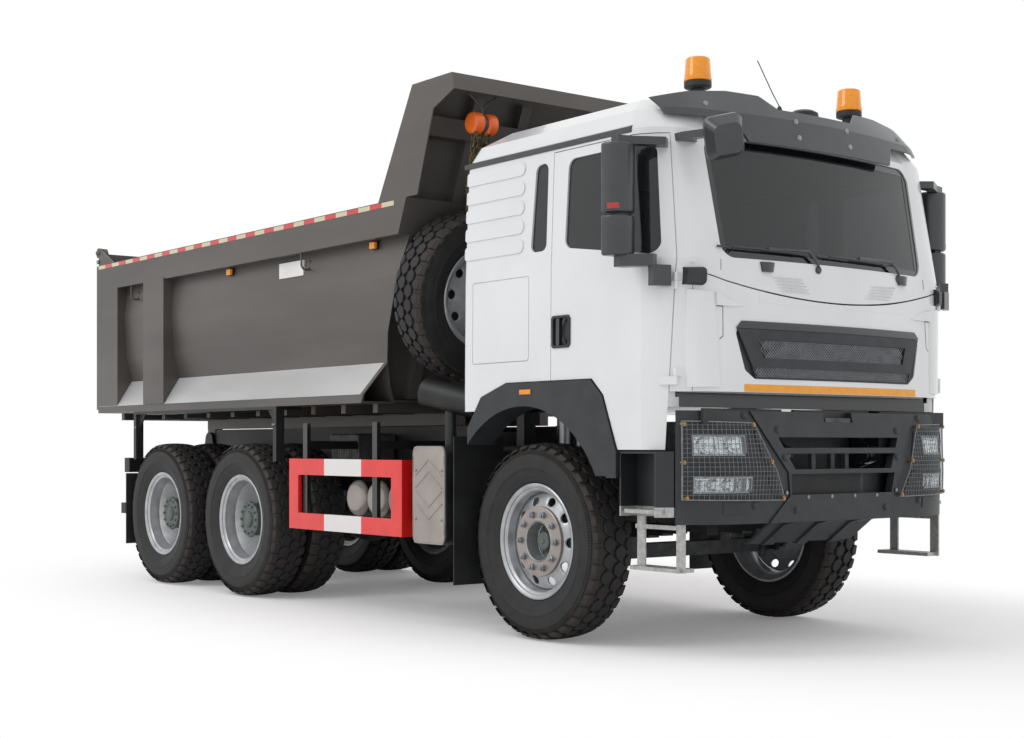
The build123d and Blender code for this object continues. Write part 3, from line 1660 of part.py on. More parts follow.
with BuildPart() as hoist_tube:
    with Locations((0, aft(hoist_foot), (tube_bottom + tube_top) / 2)):
        Cylinder(hoist_radii[0], hoist_tube_length)
    with Locations((0, aft(hoist_foot), tube_bottom + 20 + hoist_tube_length / 2)):
        Cylinder(hoist_radii[1] + running_clearance, hoist_tube_length, mode=Mode.SUBTRACT)
    with Locations((0, aft(hoist_foot), tube_bottom - 30)):
        Box(90, 100, 80)
    with Locations((0, aft(hoist_foot), hoist_foot_z)):
        Cylinder(55, 90, rotation=(0, 90, 0))
        Cylinder(hoist_pin_radius + running_clearance, 200, rotation=(0, 90, 0), mode=Mode.SUBTRACT)
write(hoist_tube, "hoist_tube")

for stage in (1, 2, 3):
    bottom = tube_bottom + 20 + 10 * stage
    top = tube_top + stage_step * stage
    with BuildPart() as hoist_stage:
        with Locations((0, aft(hoist_foot), (bottom + top) / 2)):
            Cylinder(hoist_radii[stage], top - bottom)
            if stage < 3:
                Cylinder(hoist_radii[stage + 1] + running_clearance, top - bottom, mode=Mode.SUBTRACT)
        if stage == 3:
            with Locations((0, aft(hoist_foot), (top + hoist_head_z) / 2)):
                Box(70, 60, hoist_head_z - top)
            with Locations((0, aft(hoist_head), hoist_head_z)):
                Cylinder(45, 2 * fork_gap - 2 * joint_gap, rotation=(0, 90, 0))
                Cylinder(hoist_pin_radius, 200, rotation=(0, 90, 0), mode=Mode.SUBTRACT)
    write(hoist_stage, f"hoist_stage_{stage}")
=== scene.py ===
import math

import bmesh
import bpy
import numpy as np
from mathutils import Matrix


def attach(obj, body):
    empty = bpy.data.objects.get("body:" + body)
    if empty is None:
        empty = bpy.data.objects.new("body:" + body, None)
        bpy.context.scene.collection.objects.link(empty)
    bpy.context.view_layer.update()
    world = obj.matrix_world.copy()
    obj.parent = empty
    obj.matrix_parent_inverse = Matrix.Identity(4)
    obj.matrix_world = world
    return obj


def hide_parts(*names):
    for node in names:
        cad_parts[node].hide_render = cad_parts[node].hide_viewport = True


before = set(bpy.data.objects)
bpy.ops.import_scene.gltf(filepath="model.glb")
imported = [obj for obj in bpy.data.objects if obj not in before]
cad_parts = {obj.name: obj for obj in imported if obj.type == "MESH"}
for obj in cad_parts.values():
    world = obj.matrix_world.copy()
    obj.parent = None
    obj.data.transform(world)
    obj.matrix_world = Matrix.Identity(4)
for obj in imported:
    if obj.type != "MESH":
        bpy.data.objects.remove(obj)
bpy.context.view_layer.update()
print("frame loaded:", len(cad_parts), "CAD nodes")

frontAxleY = -2.370  # every place along the truck below is a distance in metres behind the front axle
sides = (-1, 1)      # the kerb side and the driver's side


# shader nodes

def linearColour(hexText):
    # each sRGB channel c becomes c / 12.92 when small, else ((c + 0.055) / 1.055) to the power 2.4
    parts = [int(hexText[i:i + 2], 16) / 255 for i in (1, 3, 5)]
    return [p / 12.92 if p <= 0.04045 else ((p + 0.055) / 1.055) ** 2.4 for p in parts] + [1.0]


def addNode(tree, kind, sockets=None, **settings):
    # settings are the node's properties; sockets are values, or links when an output is given
    node = tree.nodes.new(kind)
    for key, value in settings.items():
        setattr(node, key, value)
    for key, value in (sockets or {}).items():
        if isinstance(value, bpy.types.NodeSocket):
            tree.links.new(value, node.inputs[key])
        else:
            node.inputs[key].default_value = value
    return node


def newMaterial(name, colour, roughness, noise=None, bump=None, metallic=0.0, ior=1.5, **extra):
    # a Principled material. Its base colour wanders between two hex colours: noise is (low, high, patches a metre,
    # detail, stretch). Its grain is a bump: (cells a metre, strength, depth in metres). So a scale of 160 makes
    # cells of 1000 / 160, or 6 mm; grain finer than a few millimetres is drawn that coarse so that it shows
    material = bpy.data.materials.new(name)
    material.use_nodes = True
    material.diffuse_color = linearColour(colour)
    tree = material.node_tree
    shader = tree.nodes["Principled BSDF"]
    values = {"Base Color": linearColour(colour), "Roughness": roughness, "Metallic": metallic, "IOR": ior}
    values.update({key.replace("_", " "): value for key, value in extra.items()})
    for key, value in values.items():
        shader.inputs[key].default_value = value
    place = addNode(tree, "ShaderNodeTexCoord").outputs["Object"]
    if noise:
        low, high, scale, detail, stretch = (noise + (4.0, None))[:5]
        patches = place
        if stretch:
            patches = addNode(tree, "ShaderNodeMapping", {"Vector": place, "Scale": stretch}).outputs["Vector"]
        cloud = addNode(tree, "ShaderNodeTexNoise", {"Vector": patches, "Scale": scale, "Detail": detail})
        ramp = addNode(tree, "ShaderNodeValToRGB", {"Fac": cloud.outputs["Fac"]})
        for element, position, tone in zip(ramp.color_ramp.elements, (0.35, 0.68), (low, high)):
            element.position, element.color = position, linearColour(tone)
        tree.links.new(ramp.outputs["Color"], shader.inputs["Base Color"])
    if bump:
        grain = addNode(tree, "ShaderNodeTexNoise", {"Vector": place, "Scale": bump[0], "Detail": 3.0})
        relief = addNode(tree, "ShaderNodeBump",
                         {"Height": grain.outputs["Fac"], "Strength": bump[1], "Distance": bump[2]})
        tree.links.new(relief.outputs["Normal"], shader.inputs["Normal"])
    return material


def openMaterial(material):
    # its tree, its shader and the coordinates of a point on the truck
    tree = material.node_tree
    return tree, tree.nodes["Principled BSDF"], tree.nodes["Texture Coordinate"].outputs["Object"]


def layOver(material, colour, share):
    # mixes a colour over the base colour by a share
    tree, shader, _ = openMaterial(material)
    base = shader.inputs["Base Color"]
    mix = addNode(tree, "ShaderNodeMix", {"Factor": share, 6: base.links[0].from_socket, 7: linearColour(colour)},
                  data_type="RGBA")
    tree.links.new(mix.outputs[2], base)


def paintWhere(material, colour, *tests):
    # paints a colour where every test (axis, sign, edge) holds; across is the distance from the truck's middle and
    # along the distance behind the front axle
    tree, _, place = openMaterial(material)
    parts = addNode(tree, "ShaderNodeSeparateXYZ", {"Vector": place}).outputs
    axes = {"across": addNode(tree, "ShaderNodeMath", {0: parts["X"]}, operation="ABSOLUTE").outputs[0],
            "along": addNode(tree, "ShaderNodeMath", {0: parts["Y"], 1: frontAxleY}, operation="SUBTRACT").outputs[0],
            "up": parts["Z"]}
    mask = 1.0
    for axis, sign, edge in tests:
        test = addNode(tree, "ShaderNodeMath", {0: axes[axis], 1: edge},
                       operation="LESS_THAN" if sign == "<" else "GREATER_THAN").outputs[0]
        mask = addNode(tree, "ShaderNodeMath", {0: test, 1: mask}, operation="MULTIPLY").outputs[0]
    layOver(material, colour, mask)
    return mask


# materials

# two-pack acrylic enamel: an even gloss over white, with a faint orange peel of 6 mm cells. The shell's inside is
# trimmed in dark grey, it is black under the front panel, and the hollow behind each door handle is dark plastic
cabWhite = newMaterial("whiteEnamel", "#E4E6E7", 0.25, ("#E1E3E4", "#E7E9EA", 2.0), (160.0, 0.04, 0.0004),
                       Coat_Weight=0.5, Coat_Roughness=0.08)
paintWhere(cabWhite, "#45474A", ("across", "<", 1.200), ("along", ">", -0.950), ("along", "<", 0.5725),
           ("up", "<", 2.940))
paintWhere(cabWhite, "#1E2022", ("up", "<", 1.477), ("across", "<", 1.075))
paintWhere(cabWhite, "#2B2D31", ("across", ">", 1.100), ("along", ">", -0.448), ("along", "<", -0.300),
           ("up", ">", 1.760), ("up", "<", 1.934))
# moulded polypropylene with a grain of 1.1 mm: soft dark grey, broad highlight
mouldedGrey = newMaterial("grainedPolypropylene", "#2F3236", 0.5, ("#26282B", "#2F3235", 9.0),
                          (900.0, 0.25, 0.0005), ior=1.49)
# smooth dark ABS with a satin finish and ripples of 3 mm, for the visor and mirror backs
satinDark = newMaterial("satinAbs", "#34373B", 0.33, ("#303337", "#383B3F", 6.0), (300.0, 0.04, 0.0003), ior=1.53,
                        Coat_Weight=0.25, Coat_Roughness=0.2)
# baked enamel over rolled wear plate: warm grey, satin, with faint rolling streaks; paler on the lower slopes
bedGrey = newMaterial("wearPlateEnamel", "#625E5B", 0.42, ("#524E4B", "#605C59", 1.3, 6.0, (1.0, 0.35, 2.0)),
                      (90.0, 0.05, 0.001), metallic=0.25)
slopeGrey = newMaterial("slopeEnamel", "#BDBDBE", 0.4, ("#B4B3B3", "#C6C6C7", 1.6, 6.0, (1.0, 0.4, 2.0)),
                        (90.0, 0.05, 0.001), metallic=0.2)
# drawn wire of the lamp guards, dulled zinc
guardWire = newMaterial("dulledZincWire", "#7B7E82", 0.5, ("#6E7175", "#85888C", 30.0), metallic=0.4)
# chassis lacquer: near black, sprayed over steel, with an orange peel of 4 mm
chassisBlack = newMaterial("chassisLacquer", "#232527", 0.5, ("#17181A", "#26282A", 6.0), (240.0, 0.12, 0.0006))
# cast iron and forgings, painted grey, and hub castings, sprayed grey-green; both keep the sand's grain of 2.4 mm
castGrey = newMaterial("paintedCasting", "#4A4B4D", 0.6, ("#3C3D3F", "#565759", 14.0), (420.0, 0.3, 0.0008),
                       metallic=0.2)
hubGrey = newMaterial("hubEnamel", "#5C6560", 0.5, ("#535B57", "#666F6A", 14.0), (420.0, 0.2, 0.0006),
                      metallic=0.15)
# tyre compound: carbon-black rubber, matt with a slight bloom, brown dust by the mesh's own share
tyreRubber = newMaterial("tyreRubber", "#1D1E20", 0.68, ("#161719", "#222325", 11.0), (500.0, 0.2, 0.0006),
                         ior=1.52)
tree, shader, place = openMaterial(tyreRubber)
wear = addNode(tree, "ShaderNodeAttribute", attribute_name="dustShare").outputs["Fac"]
specks = addNode(tree, "ShaderNodeTexNoise", {"Vector": place, "Scale": 26.0, "Detail": 5.0}).outputs["Fac"]
share = addNode(tree, "ShaderNodeMath", {0: wear, 1: specks}, operation="MULTIPLY").outputs[0]
layOver(tyreRubber, "#5E4E44", share)
# sheet rubber of the mud flaps
flapRubber = newMaterial("flapRubber", "#1B1C1D", 0.65, ("#151617", "#242526", 5.0), (200.0, 0.15, 0.0008))
# silver wheel lacquer: aluminium flake under a dull clear coat
wheelSilver = newMaterial("wheelLacquer", "#B4B6B9", 0.36, ("#A9ABAE", "#BFC1C3", 12.0), (260.0, 0.06, 0.0005),
                          metallic=0.6)
# galvanised steps, with the well above the treads in black moulded plastic
stepSteel = newMaterial("stepGalvanised", "#B2B2AF", 0.42, ("#A2A29F", "#BEBEBC", 40.0), metallic=0.5)
plastic = paintWhere(stepSteel, "#232528", ("up", ">", 0.8445))
tree, shader, place = openMaterial(stepSteel)
metal = addNode(tree, "ShaderNodeMath", {0: 0.5, 1: plastic}, operation="SUBTRACT", use_clamp=True).outputs[0]
tree.links.new(metal, shader.inputs["Metallic"])
# champagne enamel of the boxes over aluminium, and of the air tanks' ends, whose shells are black
tankGrey = newMaterial("champagneEnamel", "#A39A94", 0.34, ("#9A918B", "#ABA29C", 5.0), (200.0, 0.05, 0.0005),
                       metallic=0.5)
tankShell = newMaterial("tankShellEnamel", "#A39A94", 0.33, ("#9A918B", "#ABA29C", 5.0), metallic=0.3)
paintWhere(tankShell, "#1B1C1E", ("across", "<", 1.066))
# zinc-plated bolts and nuts, and brass ones on the lamp guards
boltZinc = newMaterial("zincPlate", "#8F959B", 0.35, ("#838990", "#9BA1A6", 60.0), metallic=0.8)
boltBrass = newMaterial("brassPlate", "#A98A5C", 0.35, ("#9C7E52", "#B59669", 90.0), metallic=0.8)
# road-sign enamel: red boards with a white band, on black brackets
guardRed = newMaterial("signalRedEnamel", "#E8221E", 0.3, ("#E01C18", "#EC2824", 7.0), Coat_Weight=0.3)
paintWhere(guardRed, "#E6E3E2", ("along", ">", 1.791), ("along", "<", 2.285))
paintWhere(guardRed, "#1C1D1F", ("across", "<", 1.2206), ("along", ">", 1.300))
signalWhite = newMaterial("signalWhiteEnamel", "#E6E3E2", 0.35, ("#E0DDDC", "#EAE8E7", 7.0), Coat_Weight=0.3)
# retroreflective sheeting under a clear film, and a plain orange film
tapeRed = newMaterial("retroreflectiveRed", "#D32A2D", 0.35, ("#CC2428", "#DA3032", 220.0, 1.0, None),
                      Coat_Weight=0.4)
tapeCream = newMaterial("retroreflectiveCream", "#D3C7A8", 0.35, ("#CCBF9E", "#D9CDB0", 220.0, 1.0, None),
                        Coat_Weight=0.4)
stripOrange = newMaterial("orangeFilm", "#F0A01D", 0.35, ("#EC9A18", "#F3A522", 30.0), Coat_Weight=0.3)
# laminated glass with a grey tint, and its black ceramic frit
screenGlass = newMaterial("tintedGlass", "#5A6264", 0.02, ior=1.52, Transmission_Weight=0.9,
                          Specular_IOR_Level=0.28)
glossBlack = newMaterial("ceramicFrit", "#0B0D10", 0.07, ("#090B0E", "#10151C", 2.0), ior=1.52, Coat_Weight=0.6)
# polycarbonate lamp cover and the vacuum-metallised reflector behind it
lampClear = newMaterial("clearPolycarbonate", "#F4F7F8", 0.04, ior=1.35, Transmission_Weight=0.95)
chrome = newMaterial("metallisedReflector", "#DCDEE0", 0.12, ("#D2D4D6", "#E6E8EA", 40.0), metallic=1.0)
# amber and red polycarbonate of the beacons, marker lamps and reflectors
amberLens = newMaterial("amberPolycarbonate", "#F59A0A", 0.18, ("#F0920A", "#F8A41A", 60.0), ior=1.58,
                        Transmission_Weight=0.2, Emission_Strength=0.12, Emission_Color=linearColour("#F59A0A"))
redLens = newMaterial("redPolycarbonate", "#B01512", 0.18, ("#A81210", "#B81A16", 60.0), ior=1.58, Coat_Weight=0.4)
# flat-woven polyester of the seats: threads of 2 mm, drawn coarse enough to show
seatCloth = newMaterial("wovenSeatCloth", "#2E3033", 0.9, ("#27292B", "#393B3E", 60.0), (500.0, 0.4, 0.001),
                        Sheen_Weight=0.3)
# ground stages of the tipping hoist; orange enamel and oiled steel of the chain hoist
groundSteel = newMaterial("groundSteel", "#8F9092", 0.28, ("#858688", "#9A9B9D", 30.0, 2.0, (1.0, 1.0, 0.1)),
                          metallic=1.0)
hoistOrange = newMaterial("orangeEnamel", "#EE6A20", 0.35, ("#E6621A", "#F27226", 9.0), Coat_Weight=0.3)
chainSteel = newMaterial("oiledChainSteel", "#6E6046", 0.45, ("#3A332A", "#8C7A55", 40.0), metallic=0.7)

for material, names in {
    chassisBlack: "chassis_frame rear_bar leaf_springs knuckle_left knuckle_right spare_carrier fuel_tank "
                  "air_intake silencer_box wheel_frames",
    cabWhite: "cab_shell cab_roof door_left door_right front_flap",
    mouldedGrey: "front_bumper wheel_arches grille dashboard",
    satinDark: "sun_visor mirror_left mirror_right front_mirror",
    lampClear: "headlamps",
    screenGlass: "cab_glass door_glass_left door_glass_right",
    amberLens: "beacons",
    stepSteel: "cab_steps",
    castGrey: "axles engine",
    guardRed: "side_guards",
    tankShell: "air_tanks",
    flapRubber: "mud_flaps",
    tyreRubber: "spare_tyre tyre_front_left tyre_front_right tyres_mid_left tyres_mid_right tyres_rear_left "
                "tyres_rear_right",
    wheelSilver: "spare_rim rim_front_left rim_front_right rims_mid_left rims_mid_right rims_rear_left "
                 "rims_rear_right",
    seatCloth: "seats",
    bedGrey: "tipper_body headboard tailgate",
    groundSteel: "hoist_tube hoist_stage_1 hoist_stage_2 hoist_stage_3",
}.items():
    for name in names.split():
        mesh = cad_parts[name].data
        mesh.materials.clear()
        mesh.materials.append(material)
print("materials on CAD nodes")


# mesh helpers: a part is a pair of points (n x 3, metres, y behind the front axle) and faces

def makePiece(name, parts, material, body, sharp=30.0, bevel=0.0, replaced=(), merge=0.00005, dust=None):
    # joins the parts into one piece that rides on a CAD body; dust is a function of the points
    points = np.concatenate([np.asarray(p, float).reshape(-1, 3) for p, _ in parts])
    faces, start = [], 0
    for p, f in parts:
        faces += [[int(i) + start for i in face] for face in f]
        start += len(np.asarray(p).reshape(-1, 3))
    mesh = bpy.data.meshes.new(name)
    mesh.from_pydata((points + (0.0, frontAxleY, 0.0)).tolist(), [], faces)
    built = bmesh.new()
    built.from_mesh(mesh)
    if merge:
        bmesh.ops.remove_doubles(built, verts=built.verts, dist=merge)
    bmesh.ops.recalc_face_normals(built, faces=built.faces)
    built.to_mesh(mesh)
    built.free()
    mesh.polygons.foreach_set("use_smooth", [True] * len(mesh.polygons))
    mesh.set_sharp_from_angle(angle=math.radians(sharp))
    mesh.materials.append(material)
    if dust:
        places = np.empty(len(mesh.vertices) * 3)
        mesh.vertices.foreach_get("co", places)
        share = mesh.attributes.new("dustShare", "FLOAT", "POINT")
        share.data.foreach_set("value", dust(places.reshape(-1, 3) - (0.0, frontAxleY, 0.0)))
    piece = bpy.data.objects.new(name, mesh)
    bpy.context.scene.collection.objects.link(piece)
    if bevel:
        chamfer = piece.modifiers.new("edges", "BEVEL")
        chamfer.width, chamfer.segments, chamfer.limit_method = bevel, 2, "ANGLE"
        chamfer.harden_normals = True
    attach(piece, body)
    if replaced:
        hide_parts(*replaced)
    return piece


def gridFaces(rows, columns, closedRows=False, closedColumns=False):
    # quads of a grid of points numbered row by row
    i, j = np.meshgrid(np.arange(rows - (not closedRows)), np.arange(columns - (not closedColumns)), indexing="ij")
    i2, j2 = (i + 1) % rows, (j + 1) % columns
    return np.stack([i * columns + j, i2 * columns + j, i2 * columns + j2, i * columns + j2], -1).reshape(-1, 4)


def bothSides(parts):
    # the parts given, and the same parts on the other side of the truck's middle
    return parts + [(np.asarray(p) * (-1, 1, 1), f) for p, f in parts]


def axesOf(axis):
    # the unit axis and two unit vectors square to it; for X they are Y and Z
    a = np.asarray(axis, float)
    a = a / np.linalg.norm(a)
    u = np.cross((0, 0, 1), a) if abs(a[2]) < 0.9 else np.cross(a, (1, 0, 0))
    u = u / np.linalg.norm(u)
    return a, u, np.cross(a, u)


def aroundAxis(centre, axis, along, radius, angle):
    # points of a wheel's or turned part's own coordinates: centre + along a + radius (u cos angle + v sin angle)
    a, u, v = axesOf(axis)
    return np.asarray(centre, float) + along[..., None] * a + (radius * np.cos(angle))[..., None] * u \
        + (radius * np.sin(angle))[..., None] * v


def turned(profile, count, centre, axis=(1, 0, 0), closed=False, start=0.0, side=1):
    # rows of (along the axis, radius) carried round the axis; side -1 turns the profile to face the other way
    profile = np.asarray(profile, float) * (side, 1)
    angles = (start + np.arange(count) * 2 * math.pi / count)[:, None]
    along, radius = np.broadcast_to(profile, (count,) + profile.shape).transpose(2, 0, 1)
    points = aroundAxis(centre, axis, along, radius, angles).reshape(-1, 3)
    return points, gridFaces(count, len(profile), True, closed)


def ringOf(profile, corners, count, radius, centre, axis=(1, 0, 0), side=1):
    # small turned parts, such as nuts, repeated on a circle round the axis
    _, u, v = axesOf(axis)
    return [turned(profile, corners, np.asarray(centre) + radius * (math.cos(t) * u + math.sin(t) * v), axis,
                   start=t, side=side) for t in np.arange(count) * 2 * math.pi / count]


def stud(place, axis, radius, height, chamfer, corners=12):
    # a bolt's head standing on a face, with a chamfered top
    return turned([(0.0, 0.0), (0.0, radius), (height, radius), (height + chamfer, radius - 1.5 * chamfer),
                   (height + chamfer, 0.0)], corners, place, axis)


def prism(outline, rise):
    # a flat outline carried along a straight vector, closed at both ends
    outline = np.asarray(outline, float)
    n = len(outline)
    faces = gridFaces(2, n, False, True).tolist() + [list(range(n)), list(range(n, 2 * n))]
    return np.concatenate([outline, outline + np.asarray(rise, float)]), faces


def box(low, high):
    # a block between two opposite corners
    (x0, y0, z0), (x1, y1, z1) = low, high
    return prism([(x0, y0, z0), (x1, y0, z0), (x1, y1, z0), (x0, y1, z0)], (0, 0, z1 - z0))


def tube(path, radius, corners=10):
    # a circle carried along a path, square to the mean of the runs that meet at each point, with closed ends
    path = np.asarray(path, float)
    run = np.diff(path, axis=0)
    run /= np.linalg.norm(run, axis=1, keepdims=True)
    along = np.concatenate([run[:1], run[:-1] + run[1:], run[-1:]])
    along /= np.linalg.norm(along, axis=1, keepdims=True)
    side = np.cross(along, (0.0, 0.0, 1.0) if abs(run[0, 2]) < 0.9 else (0.0, 1.0, 0.0))
    side /= np.linalg.norm(side, axis=1, keepdims=True)
    top = np.cross(side, along)
    angles = ((np.arange(corners) + 0.5) * 2 * math.pi / corners)[None, :, None]
    wide = radius / (math.cos(math.pi / 4) if corners == 4 else 1.0)
    points = path[:, None] + wide * (np.cos(angles) * side[:, None] + np.sin(angles) * top[:, None])
    n = len(path)
    faces = gridFaces(n, corners, False, True).tolist()
    faces += [list(range(corners)), list(range((n - 1) * corners, n * corners))]
    return points.reshape(-1, 3), faces


def closedSheet(outer, inner):
    # a plate between two grids of points (rows x columns x 3)
    rows, columns = outer.shape[:2]
    n = rows * columns
    faces = gridFaces(rows, columns).tolist() + (gridFaces(rows, columns) + n).tolist()
    number = np.arange(n).reshape(rows, columns)
    border = np.concatenate([number[0, :], number[1:, -1], number[-1, -2::-1], number[-2:0:-1, 0]])
    faces += np.stack([border, np.roll(border, -1), np.roll(border, -1) + n, border + n], -1).tolist()
    return np.concatenate([outer.reshape(-1, 3), inner.reshape(-1, 3)]), faces


# skins of the cab and bumper: y as a function of x and z, so that trim follows them

def arcPoints(p, q, r, t):
    # points at shares t along the circle through p, q and r: its centre is where the bisectors cross
    p, q, r = (np.asarray(v, float) for v in (p, q, r))
    d = 2 * (p[0] * (q[1] - r[1]) + q[0] * (r[1] - p[1]) + r[0] * (p[1] - q[1]))
    cx = ((p @ p) * (q[1] - r[1]) + (q @ q) * (r[1] - p[1]) + (r @ r) * (p[1] - q[1])) / d
    cy = ((p @ p) * (r[0] - q[0]) + (q @ q) * (p[0] - r[0]) + (r @ r) * (q[0] - p[0])) / d
    first = math.atan2(p[1] - cy, p[0] - cx)
    last = math.atan2(r[1] - cy, r[0] - cx)
    angle = first + ((last - first + math.pi) % (2 * math.pi) - math.pi) * t
    size = math.hypot(p[0] - cx, p[1] - cy)
    return cx + size * np.cos(angle), cy + size * np.sin(angle)


def planTable(rows):
    # each row (height, front corner point, front middle, corner arc's middle, side point) becomes one half outline
    t = np.linspace(0, 1, 61)
    xs, ys = [], []
    for _, front, middle, corner, side in rows:
        x1, y1 = arcPoints((-front[0], front[1]), (0, middle), front, 0.5 + t / 2)
        x2, y2 = arcPoints(front, corner, side, t)
        xs.append(np.concatenate([x1, x2[1:]]))
        ys.append(np.concatenate([y1, y2[1:]]))
    return np.array([row[0] for row in rows]), np.array(xs), np.array(ys)


def skinAt(kind, place, z):
    # y of the skin at x and height z: straight lines between the table's points
    heights, xs, ys = skins[kind]
    place, z = np.broadcast_arrays(np.asarray(place, float), np.asarray(z, float))
    shape = place.shape
    place, z = np.abs(place).ravel(), np.clip(z.ravel(), heights[0], heights[-1])
    k = np.clip(np.searchsorted(heights, z, side="right") - 1, 0, len(heights) - 2)
    f = ((z - heights[k]) / (heights[k + 1] - heights[k]))[:, None]
    x, y = xs[k] * (1 - f) + xs[k + 1] * f, ys[k] * (1 - f) + ys[k + 1] * f
    m = np.clip((x < place[:, None]).sum(1), 1, x.shape[1] - 1)[:, None]
    x0, x1, y0, y1 = (np.take_along_axis(line, n, 1)[:, 0] for line in (x, y) for n in (m - 1, m))
    share = np.clip((place - x0) / np.maximum(x1 - x0, 1e-9), 0, 1)
    return (y0 + (y1 - y0) * share).reshape(shape)


def bumperTable(proud):
    # the bumper's outline leans back above and below its middle; proud moves it forward
    return planTable([(height, (0.740 + 0.3 * proud, -1.427 + back - proud), -1.436 + back - proud,
                       (1.034 + 0.6 * proud, -1.330 + 0.4 * back - 0.8 * proud),
                       (1.155 + 0.7 * proud, -1.236 - 0.7 * proud))
                      for height, back in ((0.750, 0.026), (1.040, 0.0), (1.374, 0.062))])


skins = {
    "cab": planTable([  # height, front corner, front middle y, corner arc's middle, side point
        (1.140, (0.804, -1.345), -1.385, (1.100, -1.240), (1.240, -1.060)),
        (1.478, (0.804, -1.358), -1.398, (1.100, -1.246), (1.245, -1.060)),
        (2.209, (0.871, -1.313), -1.385, (1.120, -1.240), (1.240, -1.055)),
        (2.945, (0.880, -1.166), -1.250, (1.085, -1.120), (1.213, -0.955))]),
    "visor": planTable([
        (2.885, (0.890, -1.232), -1.318, (1.105, -1.160), (1.235, -1.000)),
        (3.060, (0.860, -1.180), -1.272, (1.045, -1.105), (1.185, -0.940)),
        (3.210, (0.780, -1.080), -1.180, (0.960, -1.010), (1.100, -0.880))]),
    "bumper": bumperTable(0.0), "middle": bumperTable(0.010)}


def onSkin(kind, x, z, lift=0.0):
    # points of a skin moved forward by lift
    x, z, lift = np.broadcast_arrays(np.asarray(x, float), np.asarray(z, float), np.asarray(lift, float))
    return np.stack([x, skinAt(kind, x, z) - lift, z], -1)


def patch(kind, corners, lift, depth, rows=10, columns=24):
    # a plate on a skin between four corners (x, z); lift is a number or a function of the two grid parameters
    a, b = np.meshgrid(np.linspace(0, 1, rows), np.linspace(0, 1, columns), indexing="ij")
    p = [np.array(c, float) for c in corners]
    flat = ((1 - a) * (1 - b))[..., None] * p[0] + ((1 - a) * b)[..., None] * p[1] \
        + (a * b)[..., None] * p[2] + (a * (1 - b))[..., None] * p[3]
    height = lift(a, b) if callable(lift) else lift
    x, z = flat[..., 0], flat[..., 1]
    return closedSheet(onSkin(kind, x, z, height), onSkin(kind, x, z, height - depth))


def evenPatch(kind, high, low, highHalf, lowHalf, lift, depth, rows, columns):
    # a plate even about the truck's middle, between two heights with their half widths
    return patch(kind, [(-highHalf, high), (highHalf, high), (lowHalf, low), (-lowHalf, low)], lift, depth, rows,
                 columns)


def strip(kind, points, width, lift, depth, step=0.03, closed=False):
    # a band of even width along a line of (x, z) on a skin, mitred at its corners
    points = np.array(points + points[:1] if closed else points, float)
    run = np.diff(points, axis=0)
    length = np.linalg.norm(run, axis=1)
    unit = run / length[:, None]
    normal = np.stack([-unit[:, 1], unit[:, 0]], -1)
    before = np.concatenate([normal[-1:] if closed else normal[:1], normal])
    after = np.concatenate([normal, normal[:1] if closed else normal[-1:]])
    mitre = (before + after) / (1 + (before * after).sum(1))[:, None]
    line, side = [], []
    for k in range(len(run)):
        share = np.linspace(0, 1, max(2, int(math.ceil(length[k] / step)) + 1))[0 if k == 0 else 1:, None]
        line.append(points[k] * (1 - share) + points[k + 1] * share)
        side.append(mitre[k] * (1 - share) + mitre[k + 1] * share)
    line, side = np.concatenate(line), np.concatenate(side)
    flat = np.stack([line - side * width / 2, line + side * width / 2])
    return closedSheet(onSkin(kind, flat[..., 0], flat[..., 1], lift),
                       onSkin(kind, flat[..., 0], flat[..., 1], lift - depth))


def wire(kind, first, last, radius, lift, step=0.05):
    # a fine square rod along a straight line of (x, z) on a skin
    first, last = np.array(first), np.array(last)
    share = np.linspace(0, 1, max(2, int(math.ceil(np.linalg.norm(last - first) / step)) + 1))[:, None]
    line = first * (1 - share) + last * share
    return tube(onSkin(kind, line[:, 0], line[:, 1], lift), radius, 4)


def domeBolt(kind, x, z, radius, height, corners=16):
    # a round head with a washer, standing on a skin
    profile = [(0.0, 0.0), (0.0, radius * 1.35), (0.006, radius * 1.35), (0.006, radius),
               (0.004 + height * 0.6, radius * 0.92), (0.004 + height, radius * 0.5), (0.004 + height, 0.0)]
    return turned(profile, corners, onSkin(kind, x, z, -0.004), (0, -1, 0))


print("helpers ready")


# wheels

tyre = {"radius": 0.600, "groove": 0.020, "pitches": 38, "segments": 152, "serrations": 200, "ribFoot": 0.552,
        "crownHalf": 0.128, "crownDrop": 0.011, "clearance": 0.0005}
dusty = {"ring": 0.572, "spread": 0.016, "most": 0.5, "least": 0.06}  # where brown dust lies on the shoulder


def crown(x):
    # radius of the tread's top: a shallow arc that falls away at the shoulders
    return tyre["radius"] - tyre["clearance"] \
        - tyre["crownDrop"] * np.clip(np.abs(x) / tyre["crownHalf"], 0, 1.3) ** 2.6


def blockSet(corners, low, centre, axis, shift, chamfer=0.003):
    # a row of tread blocks: corners are (x, share of a pitch, outward lean at the foot), carried from radius low to
    # the crown with a chamfered top, and repeated round the wheel
    corners = np.asarray(corners, float)
    count, n = tyre["pitches"], len(corners)
    pitch = 2 * math.pi / count
    middle = corners[:, :2].mean(0)
    inset = middle + (corners[:, :2] - middle) * (1 - chamfer / 0.035)
    x = np.stack([corners[:, 0] + corners[:, 2], corners[:, 0], inset[:, 0]])
    angle = np.stack([corners[:, 1], corners[:, 1], inset[:, 1]]) * pitch
    radius = np.stack([low - 0.6 * np.abs(corners[:, 2]), crown(corners[:, 0]) - chamfer, crown(inset[:, 0])])
    turn = (np.arange(count) + shift)[:, None, None] * pitch
    points = aroundAxis(centre, axis, x + 0 * turn, radius + 0 * turn, angle + turn)
    faces = []
    for k in range(count):
        faces += (gridFaces(3, n, False, True) + k * 3 * n).tolist() + [list(range((3 * k + 2) * n, 3 * (k + 1) * n))]
    return points.reshape(-1, 3), faces


